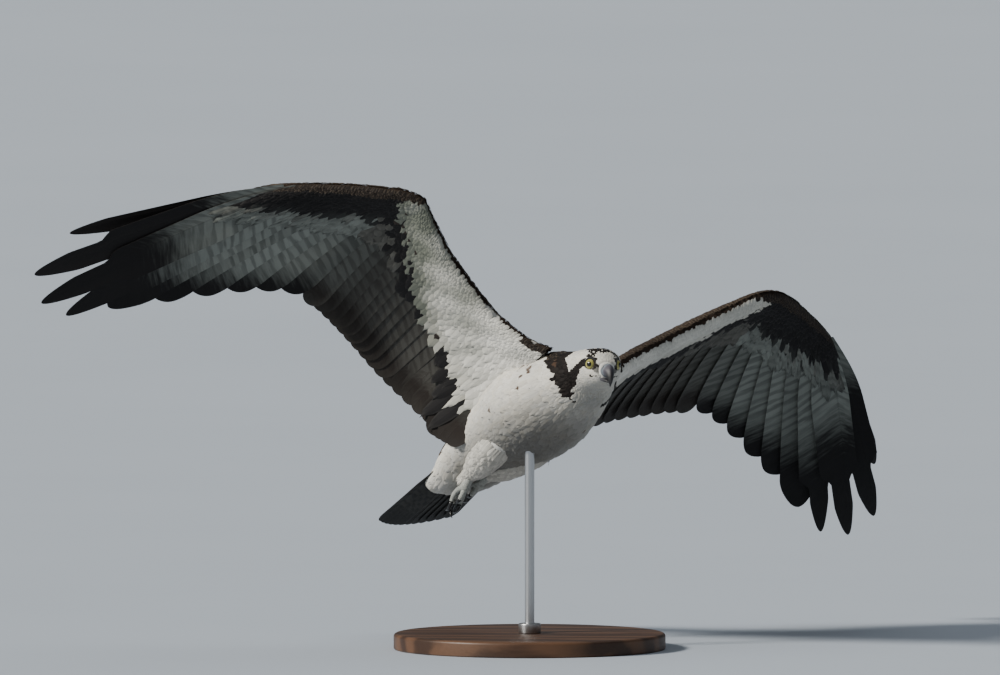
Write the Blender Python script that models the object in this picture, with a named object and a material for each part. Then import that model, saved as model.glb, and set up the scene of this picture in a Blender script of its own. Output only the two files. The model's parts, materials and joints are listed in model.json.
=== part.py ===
"""An osprey in flight, life size, held on a plain display stand.

The bird is drawn in its own frame first: forward along the body, left, and up out of the back, in
metres, from the point midway between the shoulders. One turn and one shift then set it over the stand,
whose underside lies on z = 0 with the rod on the z axis.
"""

import math

import bmesh
import bpy
import numpy as np

# How the bird is carried over the stand
HEADING = math.radians(31.5)
PITCH = math.radians(24.9)
BANK = math.radians(18.2)
SHOULDERS_ABOVE_ROD = (0.0524, -0.0329, 0.355)

# The head is held nearly level, so it turns against the body, and the tail is twisted level too
HEAD_CENTRE = (0.0905, -0.0062, -0.0392)
HEAD_YAW = math.radians(-3.6)
HEAD_PITCH = math.radians(-28.2)
HEAD_ROLL = math.radians(11.0)
TAIL_ROOT = (-0.235, -0.004, -0.030)
TAIL_TIP = (-0.439, 0.006, -0.0435)
TAIL_ROLL = math.radians(18.0)

GAP = 0.0004

# Stations of the body from the tail coverts to the root of the bill: forward, left and up of the
# centre, then half width, rise above it and drop below it, then the share of the tail's frame (below
# nought) or of the head's frame (above nought) that the section is turned to.
BODY_STATIONS = (
    (-0.318, 0.000, -0.037, 0.030, 0.006, 0.009, -1.0),
    (-0.300, -0.001, -0.036, 0.043, 0.009, 0.019, -1.0),
    (-0.270, -0.003, -0.034, 0.051, 0.014, 0.027, -0.9),
    (-0.235, -0.005, -0.030, 0.055, 0.026, 0.034, -0.6),
    (-0.195, -0.003, -0.027, 0.057, 0.039, 0.040, -0.25),
    (-0.140, 0.000, -0.026, 0.063, 0.050, 0.053, 0.0),
    (-0.070, 0.000, -0.026, 0.069, 0.053, 0.062, 0.0),
    (0.000, 0.000, -0.025, 0.055, 0.045, 0.060, 0.0),
    (0.035, -0.002, -0.027, 0.045, 0.034, 0.052, 0.15),
    (0.058, -0.004, -0.030, 0.0385, 0.030, 0.043, 0.45),
    (0.0735, -0.0052, -0.0318, 0.0325, 0.0250, 0.0345, 0.85),
    (0.0860, -0.0059, -0.0368, 0.0290, 0.0232, 0.0280, 1.0),
    (0.0980, -0.0066, -0.0430, 0.0262, 0.0228, 0.0243, 1.0),
    (0.1070, -0.0072, -0.0478, 0.0218, 0.0190, 0.0212, 1.0),
    (0.1150, -0.0077, -0.0521, 0.0150, 0.0135, 0.0168, 1.0),
    (0.1210, -0.0081, -0.0554, 0.0092, 0.0085, 0.0125, 1.0),
)
BODY_SIDES = 20
# The three pieces the body is parted into, and the rings each is drawn with
BODY_PIECES = (("trunk", 0.0, 8.34, 20), ("neck", 8.36, 10.19, 5), ("head", 10.21, 15.0, 11))
SECTION_POWER = 2.25

# The eyeball, in the head's own frame
EYE_AT = (0.0165, 0.0155, 0.0050)
EYE_RADIUS = 0.0083

# The bill in the head's own frame: forward, up, half width, half height and how far its section has
# turned down, in degrees
UPPER_BILL = (
    (0.0347, -0.0008, 0.0085, 0.0082, 0),
    (0.0405, -0.0006, 0.0072, 0.0076, 10),
    (0.0457, -0.0032, 0.0056, 0.0062, 34),
    (0.0492, -0.0085, 0.0040, 0.0044, 62),
    (0.0502, -0.0142, 0.0024, 0.0027, 86),
    (0.0490, -0.0200, 0.0006, 0.0008, 102),
)
LOWER_BILL = (
    (0.0347, -0.0128, 0.0070, 0.0028, 0),
    (0.0395, -0.0132, 0.0056, 0.0026, 6),
    (0.0435, -0.0140, 0.0038, 0.0019, 12),
    (0.0460, -0.0148, 0.0014, 0.0008, 18),
)

# The left wing. Each row is one place along it: the share of the way out (0 at the body, 1 at the
# wrist, 2 past the outermost primary), then the leading edge and the feather tip there.
WING_EDGES = (
    (0.00, (0.010, 0.045, -0.004), (-0.185, 0.062, -0.045)),
    (0.14, (0.006, 0.073, 0.020), (-0.218, 0.084, -0.014)),
    (0.30, (-0.002, 0.106, 0.049), (-0.243, 0.113, 0.024)),
    (0.46, (-0.005, 0.143, 0.079), (-0.254, 0.146, 0.055)),
    (0.62, (0.001, 0.181, 0.109), (-0.247, 0.181, 0.076)),
    (0.80, (0.014, 0.220, 0.138), (-0.228, 0.224, 0.090)),
    (0.94, (0.025, 0.250, 0.157), (-0.214, 0.262, 0.099)),
    (1.05, (0.022, 0.272, 0.168), (-0.222, 0.302, 0.105)),
    (1.15, (0.014, 0.284, 0.171), (-0.232, 0.333, 0.106)),
    (1.25, (0.006, 0.294, 0.173), (-0.245, 0.365, 0.104)),
    (1.35, (-0.003, 0.304, 0.175), (-0.263, 0.402, 0.098)),
    (1.45, (-0.013, 0.316, 0.176), (-0.290, 0.444, 0.089)),
    (1.55, (-0.025, 0.331, 0.177), (-0.321, 0.491, 0.077)),
    (1.65, (-0.037, 0.347, 0.178), (-0.346, 0.537, 0.066)),
    (1.75, (-0.048, 0.361, 0.178), (-0.343, 0.574, 0.071)),
    (1.85, (-0.058, 0.373, 0.178), (-0.321, 0.597, 0.095)),
    (1.95, (-0.066, 0.383, 0.177), (-0.279, 0.572, 0.143)),
    (2.05, (-0.073, 0.392, 0.176), (-0.252, 0.545, 0.162)),
)
ARM_COLUMNS = 8
PRIMARIES = 10
WING_ROWS = (0.0, 0.06, 0.17, 0.34, 0.52, 0.66, 0.77, 0.87, 0.95, 1.0)
ARM_THICKNESS = 0.020
HAND_THICKNESS = 0.012
VANE_THICKNESS = 0.0016
CAMBER = 0.055
PRIMARY_BOW = 0.012
PRIMARY_HALF_WIDTH = 0.0155
OUTER_PRIMARY_HALF_WIDTH = 0.010
# How far from its tip each primary, from the innermost out, is free of the next one outward
PRIMARY_FREE = (0.012, 0.016, 0.022, 0.030, 0.042, 0.062, 0.105, 0.120, 0.115)
SECONDARY_FREE = 0.010

# The tail fan
TAIL_COLUMNS = 6
TAIL_ROWS = (0.0, 0.3, 0.6, 0.85, 0.93, 0.97, 1.0)
TAIL_HALF_ROOT = 0.043
TAIL_HALF_TIP = 0.055
TAIL_ROUNDING = 0.019
TAIL_DISH = 0.006
TAIL_THICKNESS = 0.0035

# The legs: points and radii of the feathered thigh, then of the bare shank down to the ball of the foot
THIGH = {
    "right": (
        ((-0.118, -0.030, -0.056), 0.026),
        ((-0.162, -0.028, -0.062), 0.0235),
        ((-0.196, -0.024, -0.063), 0.0190),
        ((-0.219, -0.022, -0.065), 0.0100),
    ),
    "left": (
        ((-0.118, 0.024, -0.050), 0.026),
        ((-0.162, 0.019, -0.053), 0.0220),
        ((-0.197, 0.012, -0.055), 0.0180),
        ((-0.221, 0.006, -0.056), 0.0100),
    ),
}
SHANK = {
    "right": (((-0.202, -0.0235, -0.066), 0.0054), ((-0.231, -0.021, -0.078), 0.0056)),
    "left": (((-0.203, 0.0090, -0.058), 0.0054), ((-0.237, 0.004, -0.0735), 0.0056)),
}
# Each toe: where its tip lies from the ball of the foot, along the way the foot points, to its left
# and away from the belly, how much it arches and its radius at the root
TOES = (
    (0.034, 0.0085, 0.002, 0.006, 0.0040),
    (0.038, 0.0005, 0.007, 0.008, 0.0042),
    (0.033, -0.0080, 0.002, 0.006, 0.0040),
    (0.017, -0.0020, -0.010, -0.004, 0.0038),
)
FOOT_POINTS = {
    "right": (-0.90, 0.05, -0.43),
    "left": (-0.99, -0.06, -0.11),
}
CLAW_LENGTH = 0.021
CLAW_ROOT = 0.0012
CLAW_RADIUS = 0.0028

# The stand
BASE_RADIUS = 0.170
BASE_THICKNESS = 0.020
BASE_BEVEL = 0.003
ROD_RADIUS = 0.006
ROD_REACH = 0.30
COLLAR_RADIUS = 0.014
COLLAR_HEIGHT = 0.012

WHITE_FEATHER = (0.80, 0.78, 0.72)
DARK_FEATHER = (0.075, 0.055, 0.042)
GREY_FEATHER = (0.17, 0.16, 0.145)
BILL_BLACK = (0.030, 0.032, 0.038)
EYE_YELLOW = (0.62, 0.55, 0.08)
FOOT_BLUE = (0.56, 0.61, 0.60)
STAND_WOOD = (0.11, 0.060, 0.032)
STAND_STEEL = (0.55, 0.55, 0.56)


def spline(table, at):
    """Rows of a table read smoothly at whole and part rows, by Catmull-Rom through every row."""
    table = np.asarray(table, float)
    at = np.clip(np.asarray(at, float), 0, len(table) - 1)
    i = np.minimum(at.astype(int), len(table) - 2)
    t = (at - i)[:, None]
    first, last = 2 * table[0] - table[1], 2 * table[-1] - table[-2]
    padded = np.vstack([first, table, last])
    a, b, c, d = (padded[i + k] for k in range(4))
    return b + 0.5 * t * (c - a + t * (2 * a - 5 * b + 4 * c - d + t * (3 * (b - c) + d - a)))


def unit(v):
    return v / np.linalg.norm(v, axis=-1, keepdims=True)


def turned(yaw, pitch, roll):
    """Forward, left and up of something turned left by yaw, nose up by pitch, left side up by roll."""
    forward = np.array([math.cos(pitch) * math.cos(yaw), math.cos(pitch) * math.sin(yaw), math.sin(pitch)])
    level = np.array([-math.sin(yaw), math.cos(yaw), 0.0])
    above = np.cross(forward, level)
    left = level * math.cos(roll) + above * math.sin(roll)
    return np.array([forward, left, np.cross(forward, left)])


def bird_axes():
    """Rows: the bird's forward, left and up in the stand's frame."""
    forward = np.array([math.sin(HEADING) * math.cos(PITCH), -math.cos(HEADING) * math.cos(PITCH), math.sin(PITCH)])
    level = np.array([math.cos(HEADING), math.sin(HEADING), 0.0])
    above = np.cross(forward, level)
    left = level * math.cos(BANK) - above * math.sin(BANK)
    return np.array([forward, left, np.cross(forward, left)])


def tail_axes():
    """Rows: forward, left and up of the tail, which points from its tip to its root."""
    forward = unit(np.subtract(TAIL_ROOT, TAIL_TIP))
    level = unit(np.cross((0.0, 0.0, 1.0), forward))
    above = np.cross(forward, level)
    left = level * math.cos(TAIL_ROLL) + above * math.sin(TAIL_ROLL)
    return np.array([forward, left, np.cross(forward, left)])


BIRD = bird_axes()
HEAD = turned(HEAD_YAW, HEAD_PITCH, HEAD_ROLL)
TAIL = tail_axes()


def from_head(points):
    """Points in the head's own frame, put into the bird's frame."""
    return np.asarray(points, float) @ HEAD + HEAD_CENTRE


def material(name, colour, roughness, metallic=0.0):
    made = bpy.data.materials.new(name)
    made.use_nodes = True
    shader = made.node_tree.nodes["Principled BSDF"]
    shader.inputs["Base Color"].default_value = (*colour, 1.0)
    shader.inputs["Roughness"].default_value = roughness
    shader.inputs["Metallic"].default_value = metallic
    made.diffuse_color = (*colour, 1.0)
    return made


def solid(name, points, faces, finish, on_bird=True):
    """A mesh object from points in the bird's frame, or in the stand's where on_bird is False."""
    points = np.asarray(points, float)
    if on_bird:
        points = points @ BIRD + SHOULDERS_ABOVE_ROD
    mesh = bpy.data.meshes.new(name)
    mesh.from_pydata(points.tolist(), [], faces)
    cleaner = bmesh.new()
    cleaner.from_mesh(mesh)
    bmesh.ops.remove_doubles(cleaner, verts=cleaner.verts, dist=1e-6)
    bmesh.ops.recalc_face_normals(cleaner, faces=cleaner.faces)
    cleaner.to_mesh(mesh)
    cleaner.free()
    mesh.shade_smooth()
    mesh.set_sharp_from_angle(angle=math.radians(50))
    if finish:
        mesh.materials.append(finish)
    made = bpy.data.objects.new(name, mesh)
    bpy.context.scene.collection.objects.link(made)
    return made


def cutter(name, points, faces, on_bird=True):
    """A solid that only cuts others."""
    made = solid(name, points, faces, None, on_bird)
    made.hide_render = True
    made.display_type = "WIRE"
    return made


def cut(target, *tools):
    for tool in tools:
        boolean = target.modifiers.new("cut_" + tool.name, "BOOLEAN")
        boolean.operation = "DIFFERENCE"
        boolean.object = tool


def joined(target, *tools):
    for tool in tools:
        boolean = target.modifiers.new("join_" + tool.name, "BOOLEAN")
        boolean.operation = "UNION"
        boolean.object = tool


def rings_to_solid(rings):
    """Points and faces of a closed skin over rings of points that follow one another."""
    count, sides = rings.shape[:2]
    faces = []
    for i in range(count - 1):
        for k in range(sides):
            n = (k + 1) % sides
            a, b, c, d = i * sides + k, i * sides + n, (i + 1) * sides + n, (i + 1) * sides + k
            faces += [(a, b, c), (a, c, d)]
    points = [*rings.reshape(-1, 3)]
    for ring, first in ((rings[0], 0), (rings[-1], (count - 1) * sides)):
        middle = len(points)
        points.append(ring.mean(axis=0))
        faces += [(first + k, first + (k + 1) % sides, middle) for k in range(sides)]
    return np.array(points), faces


def oval(sides, power=2.0):
    """Across and up on an oval of half size one, boxier as power rises."""
    angle = np.arange(sides) * 2 * math.pi / sides
    across, up = np.cos(angle), np.sin(angle)
    grow = (np.abs(across) ** power + np.abs(up) ** power) ** (-1 / power)
    return across * grow, up * grow


def body_rings(at, grow=0.0):
    """Rings of the body at whole and part stations, each an oval with its own rise and drop."""
    rows = spline(BODY_STATIONS, at)
    across, up = oval(BODY_SIDES, SECTION_POWER)
    rings = []
    for row in rows:
        share = row[6]
        frame = (1 - abs(share)) * np.eye(3) + abs(share) * (HEAD if share > 0 else TAIL)
        left, above = unit(frame[1]), unit(frame[2])
        height = np.where(up > 0, row[4] + grow, row[5] + grow)
        rings.append(row[:3] + np.outer(across * (row[3] + grow), left) + np.outer(up * height, above))
    return np.array(rings)


def tube_rings(path, radii, sides):
    """Rings round a path, square to it, carried along without twisting."""
    path, radii = np.asarray(path, float), np.asarray(radii, float)
    along = unit(np.gradient(path, axis=0))
    side = unit(np.cross(along[0], (0.3, 0.1, 1.0)))
    across, up = oval(sides)
    rings = []
    for point, direction, radius in zip(path, along, radii):
        side = unit(side - direction * (side @ direction))
        over = np.cross(direction, side)
        rings.append(point + radius * (np.outer(across, side) + np.outer(up, over)))
    return np.array(rings)


def fan_solid(vanes, borders, width, shared):
    """A thin fan of feathers as one closed slab.

    vanes holds, for each feather and each row from root to tip, a point, the way up and half the
    thickness. borders holds the same between neighbours and outside the first and the last. Border i is
    kept up to row shared[i]; past it each feather has free edges of its own, width to either side.
    """
    columns, rows = vanes.shape[:2]
    side = unit(np.cross(vanes[..., 3:6], np.gradient(vanes[..., :3], axis=1)))
    outward = borders[1:, :, :3] - borders[:-1, :, :3]
    side *= np.sign((side * outward).sum(axis=2, keepdims=True))
    lines = []
    for i in range(columns):
        for step in (-1, 0, 1):
            line = vanes[i].copy()
            line[:, :3] += step * side[i] * width[i, :, None]
            if step:
                kept = shared[i + (step > 0)] + 1
                line[:kept] = borders[i + (step > 0), :kept]
            lines.append(line)
    lines = np.array(lines)
    top = lines[..., :3] + lines[..., 3:6] * lines[..., 6:]
    bottom = lines[..., :3] - lines[..., 3:6] * lines[..., 6:]
    points = np.concatenate([top.reshape(-1, 3), bottom.reshape(-1, 3)])
    under = len(lines) * rows
    faces = []
    for a in range(len(lines)):
        b = a + 1
        if a % 3 < 2:
            for j in range(rows - 1):
                quad = (a * rows + j, b * rows + j, b * rows + j + 1, a * rows + j + 1)
                faces += [quad, tuple(under + k for k in reversed(quad))]
            for j in (0, rows - 1):
                faces.append((a * rows + j, a * rows + j + under, b * rows + j + under, b * rows + j))
        if a % 3 != 1:
            border = (a + 1) // 3
            inside = 0 < border < columns
            for j in range(shared[border] if inside else 0, rows - 1):
                faces.append((a * rows + j, a * rows + j + 1, a * rows + j + 1 + under, a * rows + j + under))
    return points, faces


def wing_edge_points(share):
    """Leading edge and feather tips of the left wing at shares of the way out."""
    table = np.array([[*lead, *tip] for _, lead, tip in WING_EDGES])
    row = np.interp(share, [place for place, _, _ in WING_EDGES], np.arange(len(WING_EDGES)))
    read = spline(table, row)
    return read[:, :3], read[:, 3:]


def wing_lines(share, rows):
    """The left wing at shares of the way out and rows from leading edge to tip.

    Each place holds its point on the middle surface, the way up and half the thickness there: a rounded
    leading edge over the bones, thinning to the vanes behind.
    """
    lead, tip = wing_edge_points(share)
    chord = tip - lead
    length = np.linalg.norm(chord, axis=1)
    before, after = (sum(wing_edge_points(share + move)) for move in (-0.01, 0.01))
    outward = unit(after - before)
    normal = unit(np.cross(outward, chord))
    normal *= np.sign(normal[:, 2:])
    hand = np.clip((share - 1) / 0.9, 0, 1)
    sweep = unit(np.cross(normal, chord))
    sweep *= np.sign((sweep * outward).sum(axis=1, keepdims=True))
    rise = CAMBER * (1 - 0.75 * hand) * length
    bow = PRIMARY_BOW * hand * length
    arch = 4 * rows * (1 - rows)
    point = lead[:, None] + chord[:, None] * rows[None, :, None]
    point += (normal * rise[:, None] + sweep * bow[:, None])[:, None] * arch[None, :, None]

    full = ARM_THICKNESS + (HAND_THICKNESS - ARM_THICKNESS) * np.clip((share - 0.7) / 0.7, 0, 1)
    back = rows[None] * length[:, None]
    swell = np.sqrt(np.clip(back / 0.016, 0.035, 1)) * np.exp(-np.clip(back - 0.025, 0, None) / 0.032)
    half = 0.5 * (VANE_THICKNESS + (full[:, None] - VANE_THICKNESS) * swell)
    normals = np.repeat(normal[:, None], len(rows), axis=1)
    return np.concatenate([point, normals, half[..., None]], axis=2)


def wing_part(which, mirror):
    """One half of a wing, the arm or the hand, as points and faces in the bird's frame."""
    rows = np.array(WING_ROWS)
    if which == "arm":
        start, end, count, blunt = 0.0, 1.0, ARM_COLUMNS, 0.55
        free = [SECONDARY_FREE] * (count + 1)
    else:
        start, end, count, blunt = 1.0, 2.0, PRIMARIES, 0.15
        free = [SECONDARY_FREE, *PRIMARY_FREE, 10.0]
    place = np.linspace(start, end, count + 1)
    borders = wing_lines(place, rows)
    vanes = wing_lines((place[1:] + place[:-1]) / 2, rows)
    if which == "arm":
        borders[-1, :, :3] -= GAP / 2 * unit(borders[-1, :, :3] - borders[-2, :, :3])
    else:
        borders[0, :, :3] += GAP / 2 * unit(borders[1, :, :3] - borders[0, :, :3])
    length = np.linalg.norm(borders[:, -1, :3] - borders[:, 0, :3], axis=1)
    shared = [int(np.searchsorted(rows, 1 - gap / long)) - 1 for gap, long in zip(free, length)]

    room = np.linalg.norm(borders[1:, :, :3] - borders[:-1, :, :3], axis=2) / 2
    reach = np.linalg.norm(vanes[:, -1:, :3] - vanes[:, :, :3], axis=2)
    taper = np.clip(reach / 0.050, 0, 1) ** 0.6
    if which == "hand":
        room = np.minimum(room, PRIMARY_HALF_WIDTH)
        room[-1] = np.minimum(room[-1], OUTER_PRIMARY_HALF_WIDTH) * np.clip(0.35 + 3 * rows, 0, 1)
    width = room * (blunt + (0.96 - blunt) * taper)
    points, faces = fan_solid(vanes, borders, width, shared)
    if mirror:
        points = points * (1, -1, 1)
    return points, faces


def tail_lines(place, rows):
    """The tail at places across it, -1 to 1, and rows from root to tip, as wing_lines gives a wing."""
    length = np.linalg.norm(np.subtract(TAIL_ROOT, TAIL_TIP)) - TAIL_ROUNDING * place**2
    across = np.outer(place, TAIL_HALF_ROOT + (TAIL_HALF_TIP - TAIL_HALF_ROOT) * rows)
    back = np.outer(length, rows)
    drop = TAIL_DISH * np.outer(place**2, rows)
    point = np.array(TAIL_ROOT) - back[..., None] * TAIL[0] + across[..., None] * TAIL[1] - drop[..., None] * TAIL[2]
    normals = np.broadcast_to(TAIL[2], point.shape)
    half = 0.5 * (TAIL_THICKNESS - (TAIL_THICKNESS - VANE_THICKNESS) * rows) + 0 * back
    return np.concatenate([point, normals, half[..., None]], axis=2)


def tail_fan():
    """The spread tail, its corners rounded and its edges a little lower than its middle."""
    rows = np.array(TAIL_ROWS)
    place = np.linspace(-1, 1, TAIL_COLUMNS + 1)
    borders = tail_lines(place, rows)
    vanes = tail_lines((place[1:] + place[:-1]) / 2, rows)
    room = np.linalg.norm(borders[1:, :, :3] - borders[:-1, :, :3], axis=2) / 2
    width = room * (0.55 + 0.42 * np.clip((1 - rows) / 0.14, 0, 1) ** 0.5)
    return fan_solid(vanes, borders, width, [len(rows) - 3] * (TAIL_COLUMNS + 1))


def bill_rings(table, sides=12):
    """Rings of half the bill, each turned down as its table says."""
    rows = spline(table, np.linspace(0, len(table) - 1, 2 * len(table)))
    across, up = oval(sides, 2.1)
    rings = []
    for ahead, height, wide, tall, down in rows:
        tip = math.radians(down)
        above = np.array([math.sin(tip), 0.0, math.cos(tip)])
        rings.append((ahead, 0.0, height) + np.outer(across * wide, (0.0, 1.0, 0.0)) + np.outer(up * tall, above))
    return from_head(np.array(rings))


def ball(centre, radius, around=14, levels=8):
    """Points and faces of a sphere."""
    angle = np.linspace(0, math.pi, levels + 1)[1:-1]
    turn = np.arange(around) * 2 * math.pi / around
    flat = np.outer(np.sin(angle), np.cos(turn)), np.outer(np.sin(angle), np.sin(turn))
    height = np.repeat(np.cos(angle)[:, None], around, axis=1)
    rings = np.stack([*flat, height], axis=-1) * radius + centre
    points, faces = rings_to_solid(rings)
    points[-2] = np.add(centre, (0, 0, radius))
    points[-1] = np.add(centre, (0, 0, -radius))
    return points, faces


def foot_frame(side):
    """The ball of one foot, and the ways it points: along the toes, to the left and off the belly."""
    root = np.array(SHANK[side][-1][0])
    along = unit(np.array(FOOT_POINTS[side]))
    left = unit(np.cross((0.0, 0.0, 1.0), along)) * -1
    return root, along, left, np.cross(along, left) * -1


def toe_path(side, toe, steps=6):
    """Middle line of one toe, arched off the belly between the ball of the foot and its tip."""
    root, along, left, off = foot_frame(side)
    reach, aside, drop, arch, _ = toe
    t = np.linspace(0, 1, steps)[:, None]
    end = along * reach + left * aside + off * drop
    return root + end * t + off * arch * 4 * t * (1 - t) + left * aside * 0.4 * np.sin(math.pi * t)


def claw_path(side, toe, steps=6):
    """Middle line of a claw: it leaves the toe and hooks back under it."""
    path = toe_path(side, toe)
    ahead = unit(path[-1] - path[-2])
    _, along, _, off = foot_frame(side)
    inward = unit(-off if toe[2] > 0 else off)
    inward = unit(inward - ahead * (inward @ ahead))
    turn = np.linspace(0, math.radians(105), steps - 1)[:, None]
    radius = CLAW_LENGTH / math.radians(105)
    root = path[-1] + ahead * GAP
    hook = root + ahead * CLAW_ROOT + radius * (ahead * np.sin(turn) + inward * (1 - np.cos(turn)))
    return np.vstack([root, hook])


def make_body(feather_white):
    """Trunk, neck and head, parted by thin cuts, and a slightly larger tool that clears them all."""
    places = {name: np.linspace(start, end, count) for name, start, end, count in BODY_PIECES}
    made = {name: solid(name, *rings_to_solid(body_rings(at)), feather_white) for name, at in places.items()}
    whole = np.concatenate(list(places.values()))
    return made, cutter("body_tool", *rings_to_solid(body_rings(whole, grow=GAP)))


def make_eyes(head, yellow):
    for side, sign in (("left", 1), ("right", -1)):
        centre = from_head(np.multiply(EYE_AT, (1, sign, 1)))
        solid("eye_" + side, *ball(centre, EYE_RADIUS), yellow)
        cut(head, cutter("socket_" + side, *ball(centre, EYE_RADIUS + GAP)))


def make_bill(black):
    for name, table in (("bill_upper", UPPER_BILL), ("bill_lower", LOWER_BILL)):
        solid(name, *rings_to_solid(bill_rings(table)), black)


def make_wings(trunk_tool, dark, grey):
    for side, mirror in (("left", False), ("right", True)):
        for which, finish in (("arm", grey), ("hand", dark)):
            points, faces = wing_part(which, mirror)
            wing = solid(f"wing_{side}_{which}", points, faces, finish)
            if which == "arm":
                cut(wing, trunk_tool)


def make_tail(trunk_tool, grey):
    tail = solid("tail", *tail_fan(), grey)
    cut(tail, trunk_tool)


def make_legs(trunk_tool, feather_white, foot_blue, claw_black):
    for side in ("left", "right"):
        table = [(*point, radius) for point, radius in THIGH[side]]
        rows = spline(table, np.linspace(0, len(table) - 1, 9))
        end = rows[-1, :3] + unit(rows[-1, :3] - rows[-2, :3]) * 0.004
        rows = np.vstack([rows, [*end, 0.0035]])
        thigh = solid("thigh_" + side, *rings_to_solid(tube_rings(rows[:, :3], rows[:, 3], 14)), feather_white)
        cut(thigh, trunk_tool)
        wider = cutter("thigh_tool_" + side, *rings_to_solid(tube_rings(rows[:, :3], rows[:, 3] + GAP, 14)))

        shank = np.array([[*point, radius] for point, radius in SHANK[side]])
        line = spline(shank, np.linspace(0, 1, 3))
        foot = solid("foot_" + side, *rings_to_solid(tube_rings(line[:, :3], line[:, 3], 10)), foot_blue)
        parts = [cutter(f"ball_{side}", *ball(shank[-1, :3], 0.0064, 10, 7))]
        for number, toe in enumerate(TOES, 1):
            path = toe_path(side, toe)
            girth = toe[4] * (1 - 0.28 * np.linspace(0, 1, len(path)))
            girth[-1] *= 0.9
            parts.append(cutter(f"toe_{side}_{number}", *rings_to_solid(tube_rings(path, girth, 8))))
            hook = claw_path(side, toe)
            point = CLAW_RADIUS * (1 - np.linspace(0, 0.93, len(hook)) ** 1.3)
            solid(f"claw_{side}_{number}", *rings_to_solid(tube_rings(hook, point, 8)), claw_black)
        joined(foot, *parts)
        cut(foot, trunk_tool, wider)


def make_stand(trunk_tool, wood, steel):
    """A round wooden base with a steel rod and a collar where the rod stands in it."""
    across, up = oval(48)
    disc = np.stack([across, up, np.zeros_like(up)], axis=-1)
    levels = (
        (0.0, BASE_RADIUS),
        (BASE_THICKNESS - BASE_BEVEL, BASE_RADIUS),
        (BASE_THICKNESS, BASE_RADIUS - BASE_BEVEL),
    )
    rings = np.array([disc * (radius, radius, 1) + (0, 0, height) for height, radius in levels])
    solid("stand_base", *rings_to_solid(rings), wood, on_bird=False)

    across, up = oval(24)
    circle = np.stack([across, up, np.zeros_like(up)], axis=-1)
    foot = BASE_THICKNESS + GAP
    rod = np.array([circle * (ROD_RADIUS, ROD_RADIUS, 1) + (0, 0, height) for height in (foot, ROD_REACH)])
    rod = solid("stand_rod", *rings_to_solid(rod), steel, on_bird=False)
    cut(rod, trunk_tool)

    top = foot + COLLAR_HEIGHT
    hole = ROD_RADIUS + GAP
    levels = (
        (foot, hole),
        (foot, COLLAR_RADIUS),
        (top - 0.002, COLLAR_RADIUS),
        (top, COLLAR_RADIUS - 0.002),
        (top, hole),
    )
    rings = np.array([circle * (radius, radius, 1) + (0, 0, height) for height, radius in levels])
    sides = len(circle)
    faces = []
    for i in range(len(levels)):
        after = (i + 1) % len(levels)
        for k in range(sides):
            n = (k + 1) % sides
            faces.append((i * sides + k, i * sides + n, after * sides + n, after * sides + k))
    solid("stand_collar", rings.reshape(-1, 3), faces, steel, on_bird=False)


def main():
    for old in list(bpy.data.objects):
        bpy.data.objects.remove(old)
    feather_white = material("white_feather", WHITE_FEATHER, 0.85)
    feather_dark = material("dark_feather", DARK_FEATHER, 0.7)
    feather_grey = material("barred_feather", GREY_FEATHER, 0.75)
    black = material("bill_and_claw", BILL_BLACK, 0.3)
    yellow = material("eye", EYE_YELLOW, 0.08)
    blue = material("bare_foot", FOOT_BLUE, 0.6)
    wood = material("stand_wood", STAND_WOOD, 0.4)
    steel = material("stand_steel", STAND_STEEL, 0.3, 1.0)

    body, trunk_tool = make_body(feather_white)
    make_eyes(body["head"], yellow)
    make_bill(black)
    make_wings(trunk_tool, feather_dark, feather_grey)
    make_tail(trunk_tool, feather_grey)
    make_legs(trunk_tool, feather_white, blue, black)
    make_stand(trunk_tool, wood, steel)


main()
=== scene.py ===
import json
import math

import bpy
import numpy as np
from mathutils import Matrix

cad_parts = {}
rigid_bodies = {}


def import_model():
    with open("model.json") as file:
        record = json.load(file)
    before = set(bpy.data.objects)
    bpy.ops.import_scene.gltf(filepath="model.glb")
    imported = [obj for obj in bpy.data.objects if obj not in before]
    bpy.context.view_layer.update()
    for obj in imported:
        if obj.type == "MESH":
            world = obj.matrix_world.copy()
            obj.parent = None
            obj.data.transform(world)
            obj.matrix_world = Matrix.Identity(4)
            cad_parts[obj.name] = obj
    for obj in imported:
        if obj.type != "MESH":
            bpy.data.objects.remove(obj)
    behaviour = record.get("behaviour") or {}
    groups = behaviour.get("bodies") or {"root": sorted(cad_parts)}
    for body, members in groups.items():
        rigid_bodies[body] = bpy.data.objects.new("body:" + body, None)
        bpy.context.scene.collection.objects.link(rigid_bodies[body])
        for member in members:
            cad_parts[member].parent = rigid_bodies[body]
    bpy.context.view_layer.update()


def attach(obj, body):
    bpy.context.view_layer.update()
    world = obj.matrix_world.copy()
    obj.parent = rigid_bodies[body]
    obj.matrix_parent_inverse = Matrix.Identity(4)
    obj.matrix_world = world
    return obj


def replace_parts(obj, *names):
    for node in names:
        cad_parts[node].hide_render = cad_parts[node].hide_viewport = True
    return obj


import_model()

# The room: a plain pale painted floor under soft studio light. The photo was taken through a lens so long
# that nothing narrows with distance, so the camera is parallel. The photo looks up at the bird from one
# side; here the camera stands 4 degrees above the floor and the bird is banked on its rod to match.
LOOKS_DOWN = math.radians(4.0)
CAMERA_DISTANCE = 20.0
VIEW_WIDTH = 1.25
SHOULDERS = np.array([0.0524, -0.0329, 0.355])
VIEW_LEFT, VIEW_ABOVE = 0.0894, 0.0375
FLOOR_COLOUR = (0.46, 0.51, 0.575, 1.0)
FLOOR_HALF = 140.0
SUNNY, SKYLIT = (1.0, 0.965, 0.90), (0.92, 0.96, 1.0)

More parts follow.
